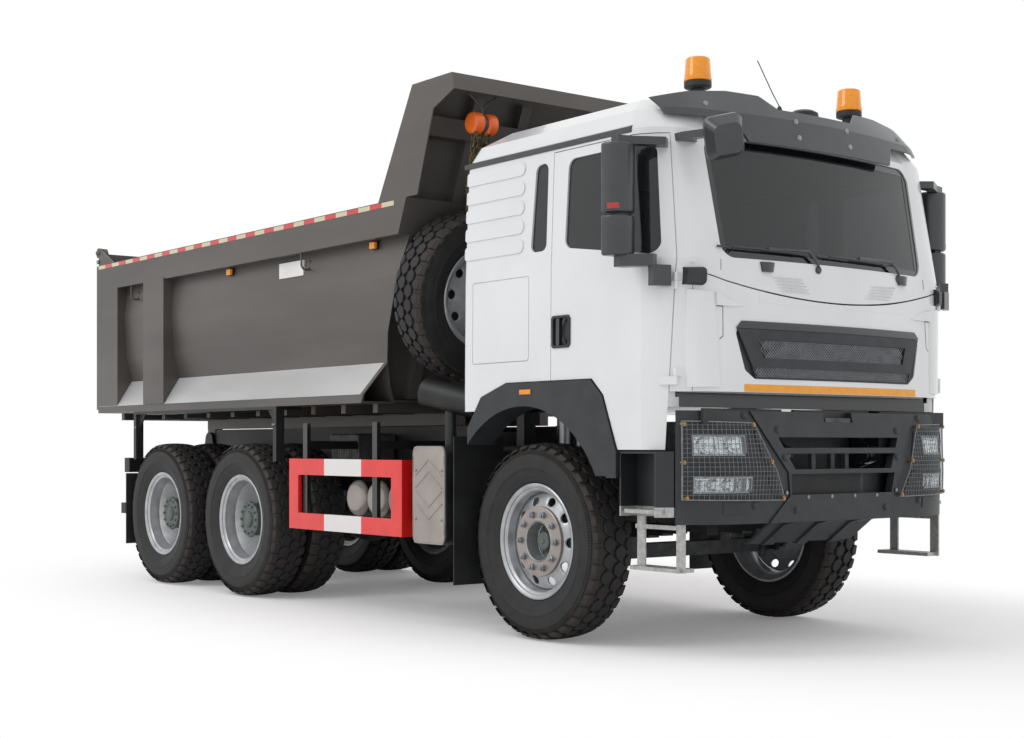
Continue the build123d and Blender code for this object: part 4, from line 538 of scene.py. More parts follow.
def tyreParts(centre, axis, spin):
    # a carcass with its sidewall rings, two rows of staggered hexagons, two rows of shoulder blocks and fine ribs
    base = tyre["radius"] - tyre["groove"]
    wall = np.array([
        (0.0, base), (0.045, base), (0.085, base - 0.001), (0.118, base - 0.006), (0.134, base - 0.016),
        (0.143, 0.552), (0.1445, 0.549), (0.1475, 0.548), (0.1515, 0.532), (0.1515, 0.529), (0.1545, 0.527),
        (0.1575, 0.500), (0.1575, 0.475), (0.155, 0.452), (0.1565, 0.449), (0.1535, 0.446), (0.147, 0.420),
        (0.138, 0.395), (0.133, 0.386), (0.131, 0.383), (0.129, 0.375), (0.121, 0.360), (0.112, 0.353),
        (0.104, 0.351), (0.086, 0.315)])
    parts = [turned(np.concatenate([wall[::-1] * (-1, 1), wall[1:]]), tyre["segments"], centre, axis, True)]
    hexagon = [(0.0, -0.56), (0.036, -0.30), (0.036, 0.18), (0.0, 0.44), (-0.036, 0.18), (-0.036, -0.30)]
    k = tyre["serrations"]
    for s in sides:
        parts.append(blockSet([(b + s * 0.0415, c, 0) for b, c in hexagon], base - 0.002, centre, axis,
                              spin + (0.5 if s > 0 else 0.0)))
        shoulder = [(0.0845, -0.20, 0), (0.103, -0.42, 0), (0.1345, -0.34, 0.016), (0.1345, 0.28, 0.016),
                    (0.103, 0.36, 0), (0.0845, 0.12, 0)]
        parts.append(blockSet([(s * b, c, s * lean) for b, c, lean in shoulder], base - 0.004, centre, axis,
                              spin + (0.5 if s < 0 else 0.0)))
        # each rib is a wedge: (out, half its width round the tyre, drop below its foot's radius)
        rib = np.array([(0.1465, -0.0035, 0), (0.1465, 0.0035, 0), (0.153, 0.0, 0), (0.1525, -0.0035, -0.022),
                        (0.1525, 0.0035, -0.022), (0.157, 0.0, -0.022)])
        turn = (np.arange(k) * 2 * math.pi / k)[:, None] + rib[:, 1] / 0.55
        points = aroundAxis(centre, axis, s * rib[:, 0] + 0 * turn, tyre["ribFoot"] + rib[:, 2] + 0 * turn, turn)
        parts.append((points.reshape(-1, 3), [[6 * i + j for j in f] for i in range(k) for f in (
            (0, 1, 2), (3, 5, 4), (0, 2, 5, 3), (1, 4, 5, 2), (0, 3, 4, 1))]))
    return parts


def rim(side, centre, axis):
    # the rim's section from its outer lip round the well and back
    return turned([(0.122, 0.334), (0.126, 0.346), (0.122, 0.3535), (0.113, 0.353), (0.106, 0.335), (0.100, 0.322),
                   (0.060, 0.318), (0.020, 0.300), (-0.060, 0.300), (-0.090, 0.318), (-0.108, 0.330),
                   (-0.114, 0.352), (-0.122, 0.353), (-0.124, 0.340), (-0.114, 0.322), (-0.096, 0.304),
                   (-0.062, 0.288), (0.018, 0.288), (0.060, 0.302), (0.096, 0.307), (0.106, 0.316),
                   (0.1085, 0.3245), (0.115, 0.326)], 112, centre, axis, True, side=side)


def holedCone(inner, outer, hole, centre, axis, side, count=10, wall=0.012):
    # a cone of sheet between two circles, pierced by oval holes: inner and outer are (out, radius), hole is (ring
    # radius, half length round it, half length along the radius). Each sector runs along straight rays from its
    # border to its hole, turns through the wall there and runs back
    half = math.pi / count
    rise, fall = outer[1] - hole[0], hole[0] - inner[1]
    psi = np.linspace(0, 2 * math.pi, 33)[:-1]
    corner = [math.atan2(b, c) % (2 * math.pi) for c in (half * hole[0], -half * hole[0]) for b in (rise, -fall)]
    psi = np.sort(np.unique(np.round(np.concatenate([psi, corner]), 6)))
    c, s = np.cos(psi), np.sin(psi)
    reach = np.minimum(half * hole[0] / np.maximum(np.abs(c), 1e-9),
                       np.where(s > 0, rise, fall) / np.maximum(np.abs(s), 1e-9))
    share = np.array([1.0, 0.5, 0.10, 0.0, 0.0, 0.10, 0.5, 1.0])[:, None]
    back = np.array([0, 0, 0, 0.25, 1, 1, 1, 1])[:, None] * wall
    t = hole[1] * c * (1 - share) + reach * c * share
    radius = hole[0] + hole[2] * s * (1 - share) + reach * s * share
    out = inner[0] + (outer[0] - inner[0]) * (radius - inner[1]) / (outer[1] - inner[1]) - back
    return [(aroundAxis(centre, axis, side * out, radius, t / hole[0] + 2 * half * k).reshape(-1, 3),
             gridFaces(len(out), len(psi), False, True)) for k in range(count)]


def nuts(out, side, count, radius, centre, scale=1.0):
    # nuts with washers on a ring, standing at a place along the axis
    profile = [(-0.003, 0.0), (-0.003, 0.024), (0.0, 0.024), (0.004, 0.024), (0.0041, 0.0185), (0.018, 0.0185),
               (0.021, 0.014), (0.030, 0.013), (0.034, 0.008), (0.034, 0.0)]
    return ringOf([(out + scale * x, scale * r) for x, r in profile], 6, count, radius, centre, side=side)


def frontWheel(side, centre):
    # rim, pierced disc, clamping ring, hub floor and cap
    def lathed(profile, count, closed=False):
        return turned(profile, count, centre, closed=closed, side=side)

    silver = [rim(side, centre, (1, 0, 0))]
    silver += holedCone((0.078, 0.212), (0.045, 0.2895), (0.250, 0.0315, 0.0265), centre, (1, 0, 0), side)
    silver.append(lathed([(0.080, 0.214), (0.070, 0.214), (0.020, 0.150), (0.008, 0.117), (0.100, 0.117),
                          (0.104, 0.121), (0.100, 0.124), (0.096, 0.128), (0.090, 0.140), (0.082, 0.200)], 96, True))
    ring = [lathed([(0.080, 0.214), (0.098, 0.214), (0.101, 0.210), (0.101, 0.126), (0.080, 0.126)], 96, True)]
    hub = [lathed([(-0.02, 0.118), (0.006, 0.118), (0.010, 0.110), (0.006, 0.075), (0.030, 0.060), (0.062, 0.057),
                   (0.067, 0.050), (0.067, 0.018), (0.072, 0.016), (0.072, 0.0), (-0.02, 0.0)], 48)]
    return silver, ring, hub, nuts(0.101, side, 10, 0.1675, centre) + nuts(0.010, side, 8, 0.092, centre, 0.5)


def rearWheel(side, centre, outerOne):
    # rim and deep dish; the outer wheel has the hub and its bolts, the inner wheel is turned the other way
    face = side if outerOne else -side
    dish = [(0.018, 0.289), (0.004, 0.280), (-0.095, 0.238), (-0.135, 0.212), (-0.163, 0.195), (-0.163, 0.125),
            (-0.175, 0.125), (-0.175, 0.200), (-0.147, 0.218), (-0.104, 0.248), (-0.010, 0.289)]
    silver = [rim(face, centre, (1, 0, 0)), turned(dish, 96, centre, closed=True, side=face)]
    if not outerOne:
        return silver, [], [], []
    hub = [turned([(-0.170, 0.0), (-0.170, 0.150), (-0.150, 0.150), (-0.146, 0.131), (0.020, 0.129), (0.028, 0.136),
                   (0.040, 0.136), (0.048, 0.128), (0.050, 0.090), (0.046, 0.084), (0.048, 0.064), (0.058, 0.060),
                   (0.063, 0.052), (0.063, 0.0)], 60, centre, side=side)]
    hub += nuts(0.047, side, 12, 0.112, centre, 0.55)
    hub += ringOf([(0.015, 0.0), (0.015, 0.013), (0.046, 0.013), (0.046, 0.0)], 8, 12, 0.128, centre, side=side)
    return silver, [], hub, nuts(-0.163, side, 10, 0.1675, centre)


def tyreDust(centres, axis):
    # a share of dust for every point: most at the shoulder's foot, none on the sidewall and little on the crown
    a = axesOf(axis)[0]

    def share(points):
        best = np.zeros(len(points))
        for centre in centres:
            away = points - np.asarray(centre)
            along = away @ a
            radius = np.linalg.norm(away - along[:, None] * a, axis=1)
            value = np.exp(-((radius - dusty["ring"]) / dusty["spread"]) ** 2) * dusty["most"] + dusty["least"]
            best = np.where(np.abs(along) < 0.17, np.maximum(best, value), best)
        return best
    return share


axles = {"front": (0.0, (1.015,)), "mid": (3.600, (1.098, 0.748)), "rear": (5.000, (1.098, 0.748))}
turns = 0  # each wheel stands at its own turn
for axle, (behind, outs) in axles.items():
    for side, hand in zip(sides, ("right", "left")):
        name = axle + hand.capitalize()
        ending = ("_" if len(outs) == 1 else "s_") + axle + "_" + hand
        centres = [(side * out, behind, tyre["radius"]) for out in outs]
        rubber, silver, ring, hub, bolts = [], [], [], [], []
        for m, centre in enumerate(centres):
            rubber += tyreParts(centre, (1, 0, 0), 0.23 * turns + 0.31 * m)
            made = frontWheel(side, centre) if len(outs) == 1 else rearWheel(side, centre, m == 0)
            for group, more in zip((silver, ring, hub, bolts), made):
                group += more
        body = "wheel" + ending
        makePiece(name + "Tyre", rubber, tyreRubber, body, 38.0, replaced=("tyre" + ending,),
                  dust=tyreDust(centres, (1, 0, 0)))
        makePiece(name + "Rim", silver, wheelSilver, body, 34.0, replaced=("rim" + ending,))
        makePiece(name + "Hub", hub, hubGrey, body, 34.0)
        makePiece(name + "Nuts", bolts, boltZinc, body)
        if ring:
            makePiece(name + "Ring", ring, tankGrey, body)
        turns += 1

spare = {"centre": (-0.700, 1.190, 2.205), "lean": math.radians(10)}
spareAxis = (0.0, math.cos(spare["lean"]), math.sin(spare["lean"]))
makePiece("spareTyre", tyreParts(spare["centre"], spareAxis, 0.1), tyreRubber, "chassis", 38.0,
          replaced=("spare_tyre",), dust=tyreDust([spare["centre"]], spareAxis))
spareDisc = holedCone((0.078, 0.150), (0.045, 0.2895), (0.245, 0.0315, 0.0265), spare["centre"], spareAxis, -1)
makePiece("spareRim", [rim(-1, spare["centre"], spareAxis)] + spareDisc, wheelSilver, "chassis",
          34.0, replaced=("spare_rim",))
print("wheels")


# bumper: lamps, wire guards, bolts and grilles

lampSets = {"upper": {"low": 1.124, "high": 1.242, "inner": 0.770, "outer": 1.085,
                      "bowls": ((0.995, 1.183, 0.062), (0.853, 1.183, 0.058))},
            "lower": {"low": 0.919, "high": 1.013, "inner": 0.745, "outer": 1.083,
                      "bowls": ((0.800, 0.966, 0.040), (0.895, 0.966, 0.036), (0.975, 0.966, 0.036),
                                (1.048, 0.966, 0.030))}}
reflector = {"depth": 0.016, "bowlDepth": 0.030, "wall": 0.003, "bezelInset": 0.006, "cover": 0.004, "bulbs": 0.046}

covers, bowls, bezels, bulbs = [], [], [], []
for lamp in lampSets.values():
    x0, x1, z0, z1 = lamp["inner"] + 0.001, lamp["outer"] - 0.001, lamp["low"] + 0.001, lamp["high"] - 0.001
    covers.append(patch("bumper", [(x0, z1), (x1, z1), (x1, z0), (x0, z0)],
                        lift=-reflector["cover"], depth=reflector["wall"], rows=8, columns=24))
    z, x = np.meshgrid(np.linspace(z1, z0, 30), np.linspace(x0, x1, 78), indexing="ij")
    deep = np.full(x.shape, reflector["depth"])
    for bowlX, bowlZ, size in lamp["bowls"]:  # a bowl is a paraboloid let into the reflector
        away = ((x - bowlX) ** 2 + (z - bowlZ) ** 2) / size ** 2
        deep = np.maximum(deep, reflector["depth"] + reflector["bowlDepth"] * np.clip(1 - away, 0, 1))
        bulbs.append(turned([(0.0, 0.0), (0.0, 0.009), (0.016, 0.009), (0.021, 0.006), (0.022, 0.0)], 16,
                            onSkin("bumper", bowlX, bowlZ, -reflector["bulbs"]), (0, -1, 0)))
    bowls.append(closedSheet(onSkin("bumper", x, z, -deep), onSkin("bumper", x, z, -deep - reflector["wall"])))
    (x0, x1), (z0, z1) = ((a + reflector["bezelInset"], b - reflector["bezelInset"]) for a, b in ((x0, x1), (z0, z1)))
    bezels.append(strip("bumper", [(x0, z0), (x1, z0), (x1, z1), (x0, z1)], width=0.010, lift=0.001, depth=0.016,
                        closed=True))
for x in (0.795, 0.850):  # dividers of the lower lamp
    bezels.append(strip("bumper", [(x, 0.925), (x, 1.007)], width=0.006, lift=-0.006, depth=0.012))
makePiece("lampCovers", bothSides(covers), lampClear, "chassis", replaced=("headlamps",))
makePiece("lampBowls", bothSides(bowls), chrome, "chassis", 50.0)
makePiece("lampBezels", bothSides(bezels), boltZinc, "chassis")
makePiece("lampBulbs", bothSides(bulbs), chrome, "chassis")

guard = {"outline": [(1.139, 1.316), (0.713, 1.307), (0.505, 0.878), (1.140, 0.887)], "pitch": 0.0255,
         "lift": 0.023, "wire": 0.0011, "outer": 1.139, "high": 1.308, "low": 0.884}
(_, _), (topX, topZ), (footX, footZ), (_, heelZ) = guard["outline"]
wires = []
for x in np.arange(footX + guard["pitch"], guard["outer"] - 0.001, guard["pitch"]):
    top = guard["high"] if x > topX else footZ + (x - footX) / (topX - footX) * (topZ - footZ)
    wires.append(wire("bumper", (x, guard["low"]), (x, top), guard["wire"], guard["lift"]))
for z in np.arange(heelZ + guard["pitch"], guard["high"] - 0.002, guard["pitch"]):
    near = footX + (z - footZ) / (topZ - footZ) * (topX - footX)
    wires.append(wire("bumper", (near, z), (guard["outer"], z), guard["wire"], guard["lift"] + 2 * guard["wire"]))
wires.append(strip("bumper", guard["outline"], width=0.006, lift=guard["lift"] + 0.002, depth=0.004, closed=True))
makePiece("lampGuardWires", bothSides(wires), guardWire, "chassis", merge=0)
guardBolt = [(-0.028, 0.0), (-0.028, 0.009), (0.0, 0.009), (0.0, 0.013), (0.004, 0.013), (0.004, 0.008),
             (0.009, 0.007), (0.009, 0.0)]
brass = [turned(guardBolt, 12, onSkin("bumper", x, z, 0.025), (0, -1, 0)) for x, z in (
    (1.130, 1.300), (0.722, 1.298), (1.131, 1.090), (0.617, 1.092), (1.120, 0.895), (0.520, 0.889))]
makePiece("guardBolts", bothSides(brass), boltBrass, "chassis")
trim = [domeBolt(kind, x, z, 0.019, 0.011) for kind, x, z in (
    ("middle", 0.520, 1.267), ("middle", 0.490, 1.111), ("middle", 0.390, 0.821), ("bumper", 0.716, 0.855),
    ("bumper", 0.760, 1.345))]
# a rectangular cap below the lamps and a raised ledge round each
trim.append(patch("bumper", [(0.755, 0.869), (0.928, 0.869), (0.928, 0.806), (0.755, 0.806)], lift=0.004, depth=0.008,
                  rows=4, columns=10))
trim.append(strip("bumper", [(0.700, 1.262), (1.110, 1.262), (1.118, 1.085), (0.640, 1.085)], width=0.014, lift=0.006,
                  depth=0.012, closed=True))
trim.append(strip("bumper", [(0.640, 1.035), (1.110, 1.035), (1.105, 0.900), (0.570, 0.900)], width=0.010, lift=0.005,
                  depth=0.012, closed=True))
makePiece("bumperTrim", bothSides(trim), mouldedGrey, "chassis")
screws = [domeBolt("middle", x, z, 0.008, 0.006, 12) for x, z in ((0.480, 0.917), (0.100, 0.890), (0.300, 0.890))]
makePiece("bumperScrews", bothSides(screws), boltZinc, "chassis")

screen = {"left": -0.440, "right": 0.210, "low": 0.898, "high": 1.030, "pitch": 0.0075, "slat": 0.0035}
slats = [box((screen["left"], -1.372, screen["low"]), (screen["right"], -1.366, screen["high"]))]
slats += [box((screen["left"] + 0.002, -1.377, z), (screen["right"] - 0.002, -1.372, z + screen["slat"]))
          for z in np.arange(screen["low"] + 0.005, screen["high"] - 0.004, screen["pitch"])]
makePiece("radiatorScreen", slats, chassisBlack, "chassis")
uprights = [box((x, -1.372, 1.020), (x + 0.034, -1.340, 1.150)) for x in (-0.205, -0.040, 0.085)]
uprights += [box((0.214, -1.374, 0.898), (0.244, -1.352, 1.030)),
             box((-0.110, -1.392, 1.296), (0.110, -1.345, 1.342))]
makePiece("bumperUprights", uprights, castGrey, "chassis", bevel=0.003)
print("bumper")


# cab front: the grille's mesh is coarser than the real one, so that it shows

grille = {"low": 1.553, "high": 1.832, "lowHalf": 0.660, "highHalf": 0.794, "pitch": 0.020, "wire": 0.0021}
windows = [(1.772, 1.669, 0.645, 0.610), (1.619, 1.563, 0.686, 0.660)]  # high, low, half widths there


def grilleHalf(z):
    # half width of the grille at a height: its sides are straight
    return grille["lowHalf"] + (z - grille["low"]) / (grille["high"] - grille["low"]) \
        * (grille["highHalf"] - grille["lowHalf"]) - 0.002


def lattice(high, low, highHalf, lowHalf):
    # two sets of diagonal wires inside a trapezium, each kept as far as its ends and its middle are inside
    rods, rise = [], high - low
    for lean in sides:
        for x in np.arange(-lowHalf - rise, lowHalf + rise, grille["pitch"]):
            ends = [(x + lean * rise * share, low + rise * share) for share in (0.0, 0.5, 1.0)]
            kept = [end for end in ends if abs(end[0]) < lowHalf + (end[1] - low) / rise * (highHalf - lowHalf)]
            if len(kept) > 1 and ends[1] in kept:
                rods.append(wire("cab", kept[0], kept[-1], grille["wire"], 0.0, 0.07))
    return rods


def grilleBand(high, low):
    # a band of the grille's frame, as wide as the grille at each of its two heights
    return evenPatch("cab", high, low, grilleHalf(high), grilleHalf(low), lift=0.008, depth=0.016, rows=4, columns=60)


high, low, highIn, lowIn = windows[0]
frameParts = [grilleBand(1.830, 1.772), grilleBand(1.669, 1.619),
              strip("cab", [(-0.688, 1.616), (-0.664, 1.560), (0.664, 1.560), (0.688, 1.616)], width=0.008,
                    lift=0.006, depth=0.014)]
frameParts += bothSides([patch("cab", [(highIn, high), (grilleHalf(high), high), (grilleHalf(low), low),
                                       (lowIn, low)], lift=0.008, depth=0.016, rows=4, columns=12)])
makePiece("grilleFrame", frameParts, mouldedGrey, "front_flap")
makePiece("grilleMesh", lattice(*windows[0]) + lattice(*windows[1]), guardWire, "front_flap", merge=0)
backing = [evenPatch("cab", 1.772, 1.669, 0.645, 0.612, lift=-0.0035, depth=0.003, rows=4, columns=50),
           evenPatch("cab", 1.619, 1.561, 0.686, 0.660, lift=-0.0035, depth=0.003, rows=4, columns=50)]
makePiece("grilleBacking", backing, chassisBlack, "front_flap")
makePiece("grilleBand", [evenPatch("cab", 1.874, 1.832, 0.755, 0.797, lift=lambda a, b: 0.010 - 0.004 * (1 - a) ** 2,
                                   depth=0.014, rows=6, columns=60)], glossBlack, "front_flap", 40.0)
makePiece("orangeStrip", [evenPatch("cab", 1.5225, 1.4805, 0.749, 0.749, lift=0.0016, depth=0.002, rows=3,
                                    columns=60)], stripOrange, "front_flap")

slats = []
for quad in (((-0.540, 2.140), (-0.295, 2.138), (-0.225, 2.046), (-0.468, 2.050)),
             ((0.313, 2.136), (0.572, 2.142), (0.515, 2.049), (0.242, 2.046))):
    q = [np.array(c) for c in quad]
    for k in range(5):
        a, b = k / 5 + 0.02, (k + 1) / 5 - 0.06
        slats.append(patch("cab", [q[0] + (q[3] - q[0]) * a, q[1] + (q[2] - q[1]) * a,
                                   q[1] + (q[2] - q[1]) * b, q[0] + (q[3] - q[0]) * b],
                           lift=lambda a, b: 0.0005 + 0.0085 * a ** 1.5 * np.clip(12 * b * (1 - b), 0, 1),
                           depth=0.008, rows=6, columns=16))
makePiece("cowlLouvres", slats, cabWhite, "cab", 40.0)


def wingLift(a, b):
    # rounded across: full near the outer side, falling to the skin along the inner edge
    return 0.0015 + 0.020 * np.sqrt(np.clip(1 - b ** 3, 0, 1)) * np.clip(0.35 + 3 * b, 0, 1)


wings = [patch("cab", [(1.098, 2.034), (0.935, 2.020), (0.917, 1.505), (1.094, 1.500)], lift=wingLift, depth=0.018,
               rows=40, columns=16),
         patch("cab", [(0.940, 2.021), (0.849, 2.001), (0.719, 1.953), (0.940, 1.950)],
               lift=lambda a, b: 0.0015 + 0.019 * (1 - b) ** 0.8, depth=0.016, rows=10, columns=16)]
makePiece("cornerWings", bothSides(wings), cabWhite, "front_flap", 40.0)

# a thin white lip along the flap's curved upper edge: its height is a circle's arc
flapTop = {"middle": 2.000, "rise": 0.137, "half": 1.060, "foot": 1.978, "from": 0.06, "to": 0.62}
flapRound = (flapTop["half"] ** 2 + flapTop["rise"] ** 2) / (2 * flapTop["rise"])
share, x = np.meshgrid(np.linspace(0, 1, 6), np.linspace(flapTop["from"], flapTop["to"], 40), indexing="ij")
top = flapTop["middle"] + flapRound - np.sqrt(flapRound ** 2 - x ** 2) - 0.0006
z = top * (1 - share) + flapTop["foot"] * share
makePiece("flapLips", bothSides([closedSheet(onSkin("cab", x, z, 0.0012), onSkin("cab", x, z, -0.0030))]), cabWhite,
          "front_flap", 40.0)

wiper = {"rod": 0.006, "rubber": 0.005, "clip": 0.007, "arm": 0.009, "lift": 0.010}
wipers = []
for middle, half in ((-0.5635, 0.0475), (0.630, 0.050)):
    wipers.append(patch("cab", [(middle - half, 2.209), (middle + half, 2.209), (middle + half - 0.012, 2.154),
                                (middle - half + 0.012, 2.154)],
                        lift=lambda a, b: 0.024 - 0.010 * (2 * b - 1) ** 2, depth=0.024, rows=6, columns=8))
for (x0, z0), (x1, z1) in (((-0.908, 2.280), (-0.217, 2.270)), ((-0.176, 2.273), (0.526, 2.267))):
    run = onSkin("cab", np.linspace(x0, x1, 14), np.linspace(z0, z1, 14), wiper["lift"])
    wipers += [tube(run, wiper["rod"], 6), tube(run[2:-2] + (0, -0.012, 0.004), wiper["rubber"], 6)]
    wipers += [tube([run[k] + (0, -0.001, 0), run[k] + (0, -0.013, 0.004)], wiper["clip"], 6)
               for k in (2, 5, 8, 11)]
for path in (((-0.164, -1.372, 2.190), (-0.164, -1.392, 2.203), (-0.190, -1.392, 2.245), (-0.244, -1.385, 2.290),
              (-0.560, -1.362, 2.284)),
             ((0.589, -1.340, 2.190), (0.589, -1.365, 2.216), (0.560, -1.372, 2.245), (0.506, -1.374, 2.283),
              (0.180, -1.396, 2.281))):
    wipers.append(tube(path, wiper["arm"], 8))
    wipers.append(turned([(0.0, 0.0), (0.0, 0.022), (0.022, 0.022), (0.030, 0.014), (0.030, 0.0)], 20,
                         np.array(path[0]) + (0, 0.004, 0), (0, -1, 0)))
makePiece("wipers", wipers, satinDark, "cab", 40.0)
frit = strip("cab", [(-0.848, 2.236), (0.848, 2.236), (0.876, 2.884), (-0.876, 2.884)], width=0.046, lift=-0.0108,
             depth=0.0008, closed=True)
makePiece("screenFrit", [frit], glossBlack, "cab", 40.0)
# painted shade: thin near-black strips stand for the shade in the slot beside each corner wing and in a short gap
# above it
seamShadeLines = [strip("cab", [(0.928, 1.948), (0.885, 1.948), (0.890, 1.784), (0.914, 1.766)], width=0.004, lift=0.0008,
               depth=0.0025),
         strip("cab", [(0.884, 2.208), (0.888, 2.148)], width=0.004, lift=0.0006, depth=0.0025)]
makePiece("frontSeamShade", bothSides(seamShadeLines), chassisBlack, "front_flap", 40.0)

visorBolts = [domeBolt("visor", x, z, 0.014, 0.008) for x, z in ((0.223, 3.053), (0.223, 2.955), (0.844, 3.094))]
makePiece("visorBolts", bothSides(visorBolts), boltZinc, "cab")
foot = patch("cab", [(1.014, 2.157), (1.110, 2.154), (1.113, 2.060), (1.018, 2.057)],
             lift=lambda a, b: 0.012 + 0.030 * np.clip(16 * a * (1 - a) * (0.35 + 0.65 * b), 0, 1) ** 0.5,
             depth=0.040, rows=12, columns=12)
makePiece("mirrorFeet", bothSides([foot]), mouldedGrey, "cab", 40.0)

beaconPlace = (0.666, -0.914, 0.0)
stalk = turned([(3.155, 0.0), (3.155, 0.045), (3.240, 0.042), (3.250, 0.074), (3.256, 0.080), (3.285, 0.080),
                (3.290, 0.070), (3.290, 0.0)], 40, beaconPlace, (0, 0, 1))
dome = turned([(3.288, 0.0), (3.288, 0.077), (3.292, 0.0815), (3.304, 0.0815), (3.307, 0.078), (3.335, 0.0765),
               (3.337, 0.0755), (3.378, 0.0735), (3.380, 0.0725), (3.412, 0.071), (3.420, 0.067), (3.425, 0.058),
               (3.427, 0.040), (3.427, 0.0)], 48, beaconPlace, (0, 0, 1))
makePiece("beaconBases", bothSides([stalk]), chassisBlack, "cab", replaced=("beacons",))
makePiece("beaconDomes", bothSides([dome]), amberLens, "cab")
print("cab front")


# tipper body: tape, lamps, hooks, bright lower slope, hoist

bed = {"tail": 6.280, "tapeFace": 1.2502, "tapeLow": 2.797, "tapeHigh": 2.829, "tapePitch": 0.1485, "tapes": 33,
       "markers": (1.735, 3.848, 5.960), "hooks": (2.629, 5.597)}
tape, sockets, lenses, hooks = ([], []), [], [], []
for k in range(bed["tapes"]):  # cream and red in turn, from the tail forward
    start = bed["tail"] - k * bed["tapePitch"]
    tape[k % 2].append(box((bed["tapeFace"], start - bed["tapePitch"] + 0.001, bed["tapeLow"]),
                           (bed["tapeFace"] + 0.0012, start, bed["tapeHigh"])))
for y in bed["markers"]:  # side marker lamps hung under the top rail
    sockets.append(box((1.150, y - 0.036, 2.540), (1.176, y + 0.036, 2.601)))
    lenses.append(box((1.176, y - 0.033, 2.544), (1.200, y + 0.033, 2.590)))
for y in bed["hooks"]:  # hooks of bent round bar for the cover's ropes
    angle = np.linspace(-0.2, 1.25 * math.pi, 14)
    curve = np.stack([1.196 + 0.040 * np.cos(angle), np.full(14, y), 2.516 - 0.040 * np.sin(angle)], -1)
    hooks.append(tube(np.concatenate([[(1.236, y, 2.604), (1.2355, y, 2.54)], curve]), 0.008, 8))
blank = box((1.156, 2.700, 2.445), (1.1795, 3.060, 2.560))
slope = prism([(1.1105, 1.712, 1.7565), (1.1105, bed["tail"], 1.7565), (1.2506, bed["tail"], 1.5365),
               (1.2506, 1.800, 1.5365)], (0.0013, 0, 0.0008))
bolts = [stud((1.2500, y + dy, 1.340), (1, 0, 0), 0.009, 0.006, 0.002) for y in (3.015, 5.485)
         for dy in (-0.014, 0.014)]
bolts += [stud((1.2450, 6.300, z), (1, 0, 0), 0.020, 0.010, 0.004, 16) for z in (2.955, 2.870)]
makePiece("tapeRed", bothSides(tape[1]), tapeRed, "tipper")
makePiece("tapeCream", bothSides(tape[0]), tapeCream, "tipper")
makePiece("markerSockets", bothSides(sockets), flapRubber, "tipper", bevel=0.003)
makePiece("markerLamps", bothSides(lenses), amberLens, "tipper", bevel=0.005)
makePiece("ropeHooks", bothSides(hooks), bedGrey, "tipper", 40.0)
makePiece("blankPlates", bothSides([blank]), signalWhite, "tipper", bevel=0.0015)
makePiece("bedBolts", bothSides(bolts), boltZinc, "tipper")
makePiece("bedSlopes", bothSides([slope]), slopeGrey, "tipper")

hoist = {"place": (-0.948, 0.800, 3.286), "radius": 0.070, "half": 0.094, "bar": 0.008, "pitch": 0.026, "rod": 0.0042}
hoistX = hoist["place"][0]
drums = [turned([(low, 0.0), (low, 0.056), (low + 0.012, hoist["radius"]), (high - 0.008, hoist["radius"]),
                 (high, 0.064), (high, 0.0)], 40, hoist["place"])
         for low, high in ((-hoist["half"], -0.014), (0.022, hoist["half"]))]
makePiece("hoistDrums", drums, hoistOrange, "tipper", 35.0)
ironwork = [turned([(-0.016, 0.0), (-0.016, 0.052), (0.024, 0.052), (0.024, 0.0)], 24, hoist["place"])]
for reach in (-0.088, 0.112):  # two bent bars from the canopy to the hoist's eye
    ironwork.append(tube([(hoistX + reach * share, 0.800, z) for share, z in (
        (1.0, 3.560), (1.0, 3.462), (0.75, 3.450), (0.25, 3.405), (0.08, 3.375))], hoist["bar"], 8))
ironwork.append(tube([(hoistX, 0.800, 3.400), (hoistX, 0.800, 3.290)], 0.012, 8))
makePiece("hoistIron", ironwork, castGrey, "tipper", 35.0)


def chain(first, last, pitch, rod):
    # oval links along a straight line, each a ring of rod turned a quarter against the one before
    first, last = np.array(first), np.array(last)
    a, u, v = axesOf(last - first)
    t = np.arange(12) * 2 * math.pi / 12
    s = np.arange(5) * 2 * math.pi / 5
    links = []
    for k in range(int(np.linalg.norm(last - first) / pitch)):
        side, out = (u, v) if k % 2 else (v, u)
        ring = np.cos(t)[:, None] * a * (pitch * 0.5 + rod * 0.9) + np.sin(t)[:, None] * side * pitch * 0.36
        normal = ring / np.linalg.norm(ring, axis=1, keepdims=True)
        points = first + a * pitch * (k + 0.5) + ring[:, None] \
            + rod * (np.cos(s)[None, :, None] * normal[:, None] + np.sin(s)[None, :, None] * out)
        links.append((points.reshape(-1, 3), gridFaces(12, 5, True, True)))
    return links


links = []
for x, y, endX, endY, endZ in ((-1.020, 0.760, -0.975, 0.925, 2.880), (-0.985, 0.840, -0.930, 0.990, 2.830),
                               (-0.955, 0.800, -0.960, 0.950, 2.720), (-0.925, 0.810, -0.895, 1.020, 2.835),
                               (-0.905, 0.770, -0.900, 0.900, 2.900)):
    links += chain((x, y, 3.235), (endX, endY, endZ), hoist["pitch"], hoist["rod"])
makePiece("hoistChains", links, chainSteel, "tipper", 60.0, merge=0)
print("tipper body")


# along the chassis: silencer cover, battery box, rear lamps, radiator

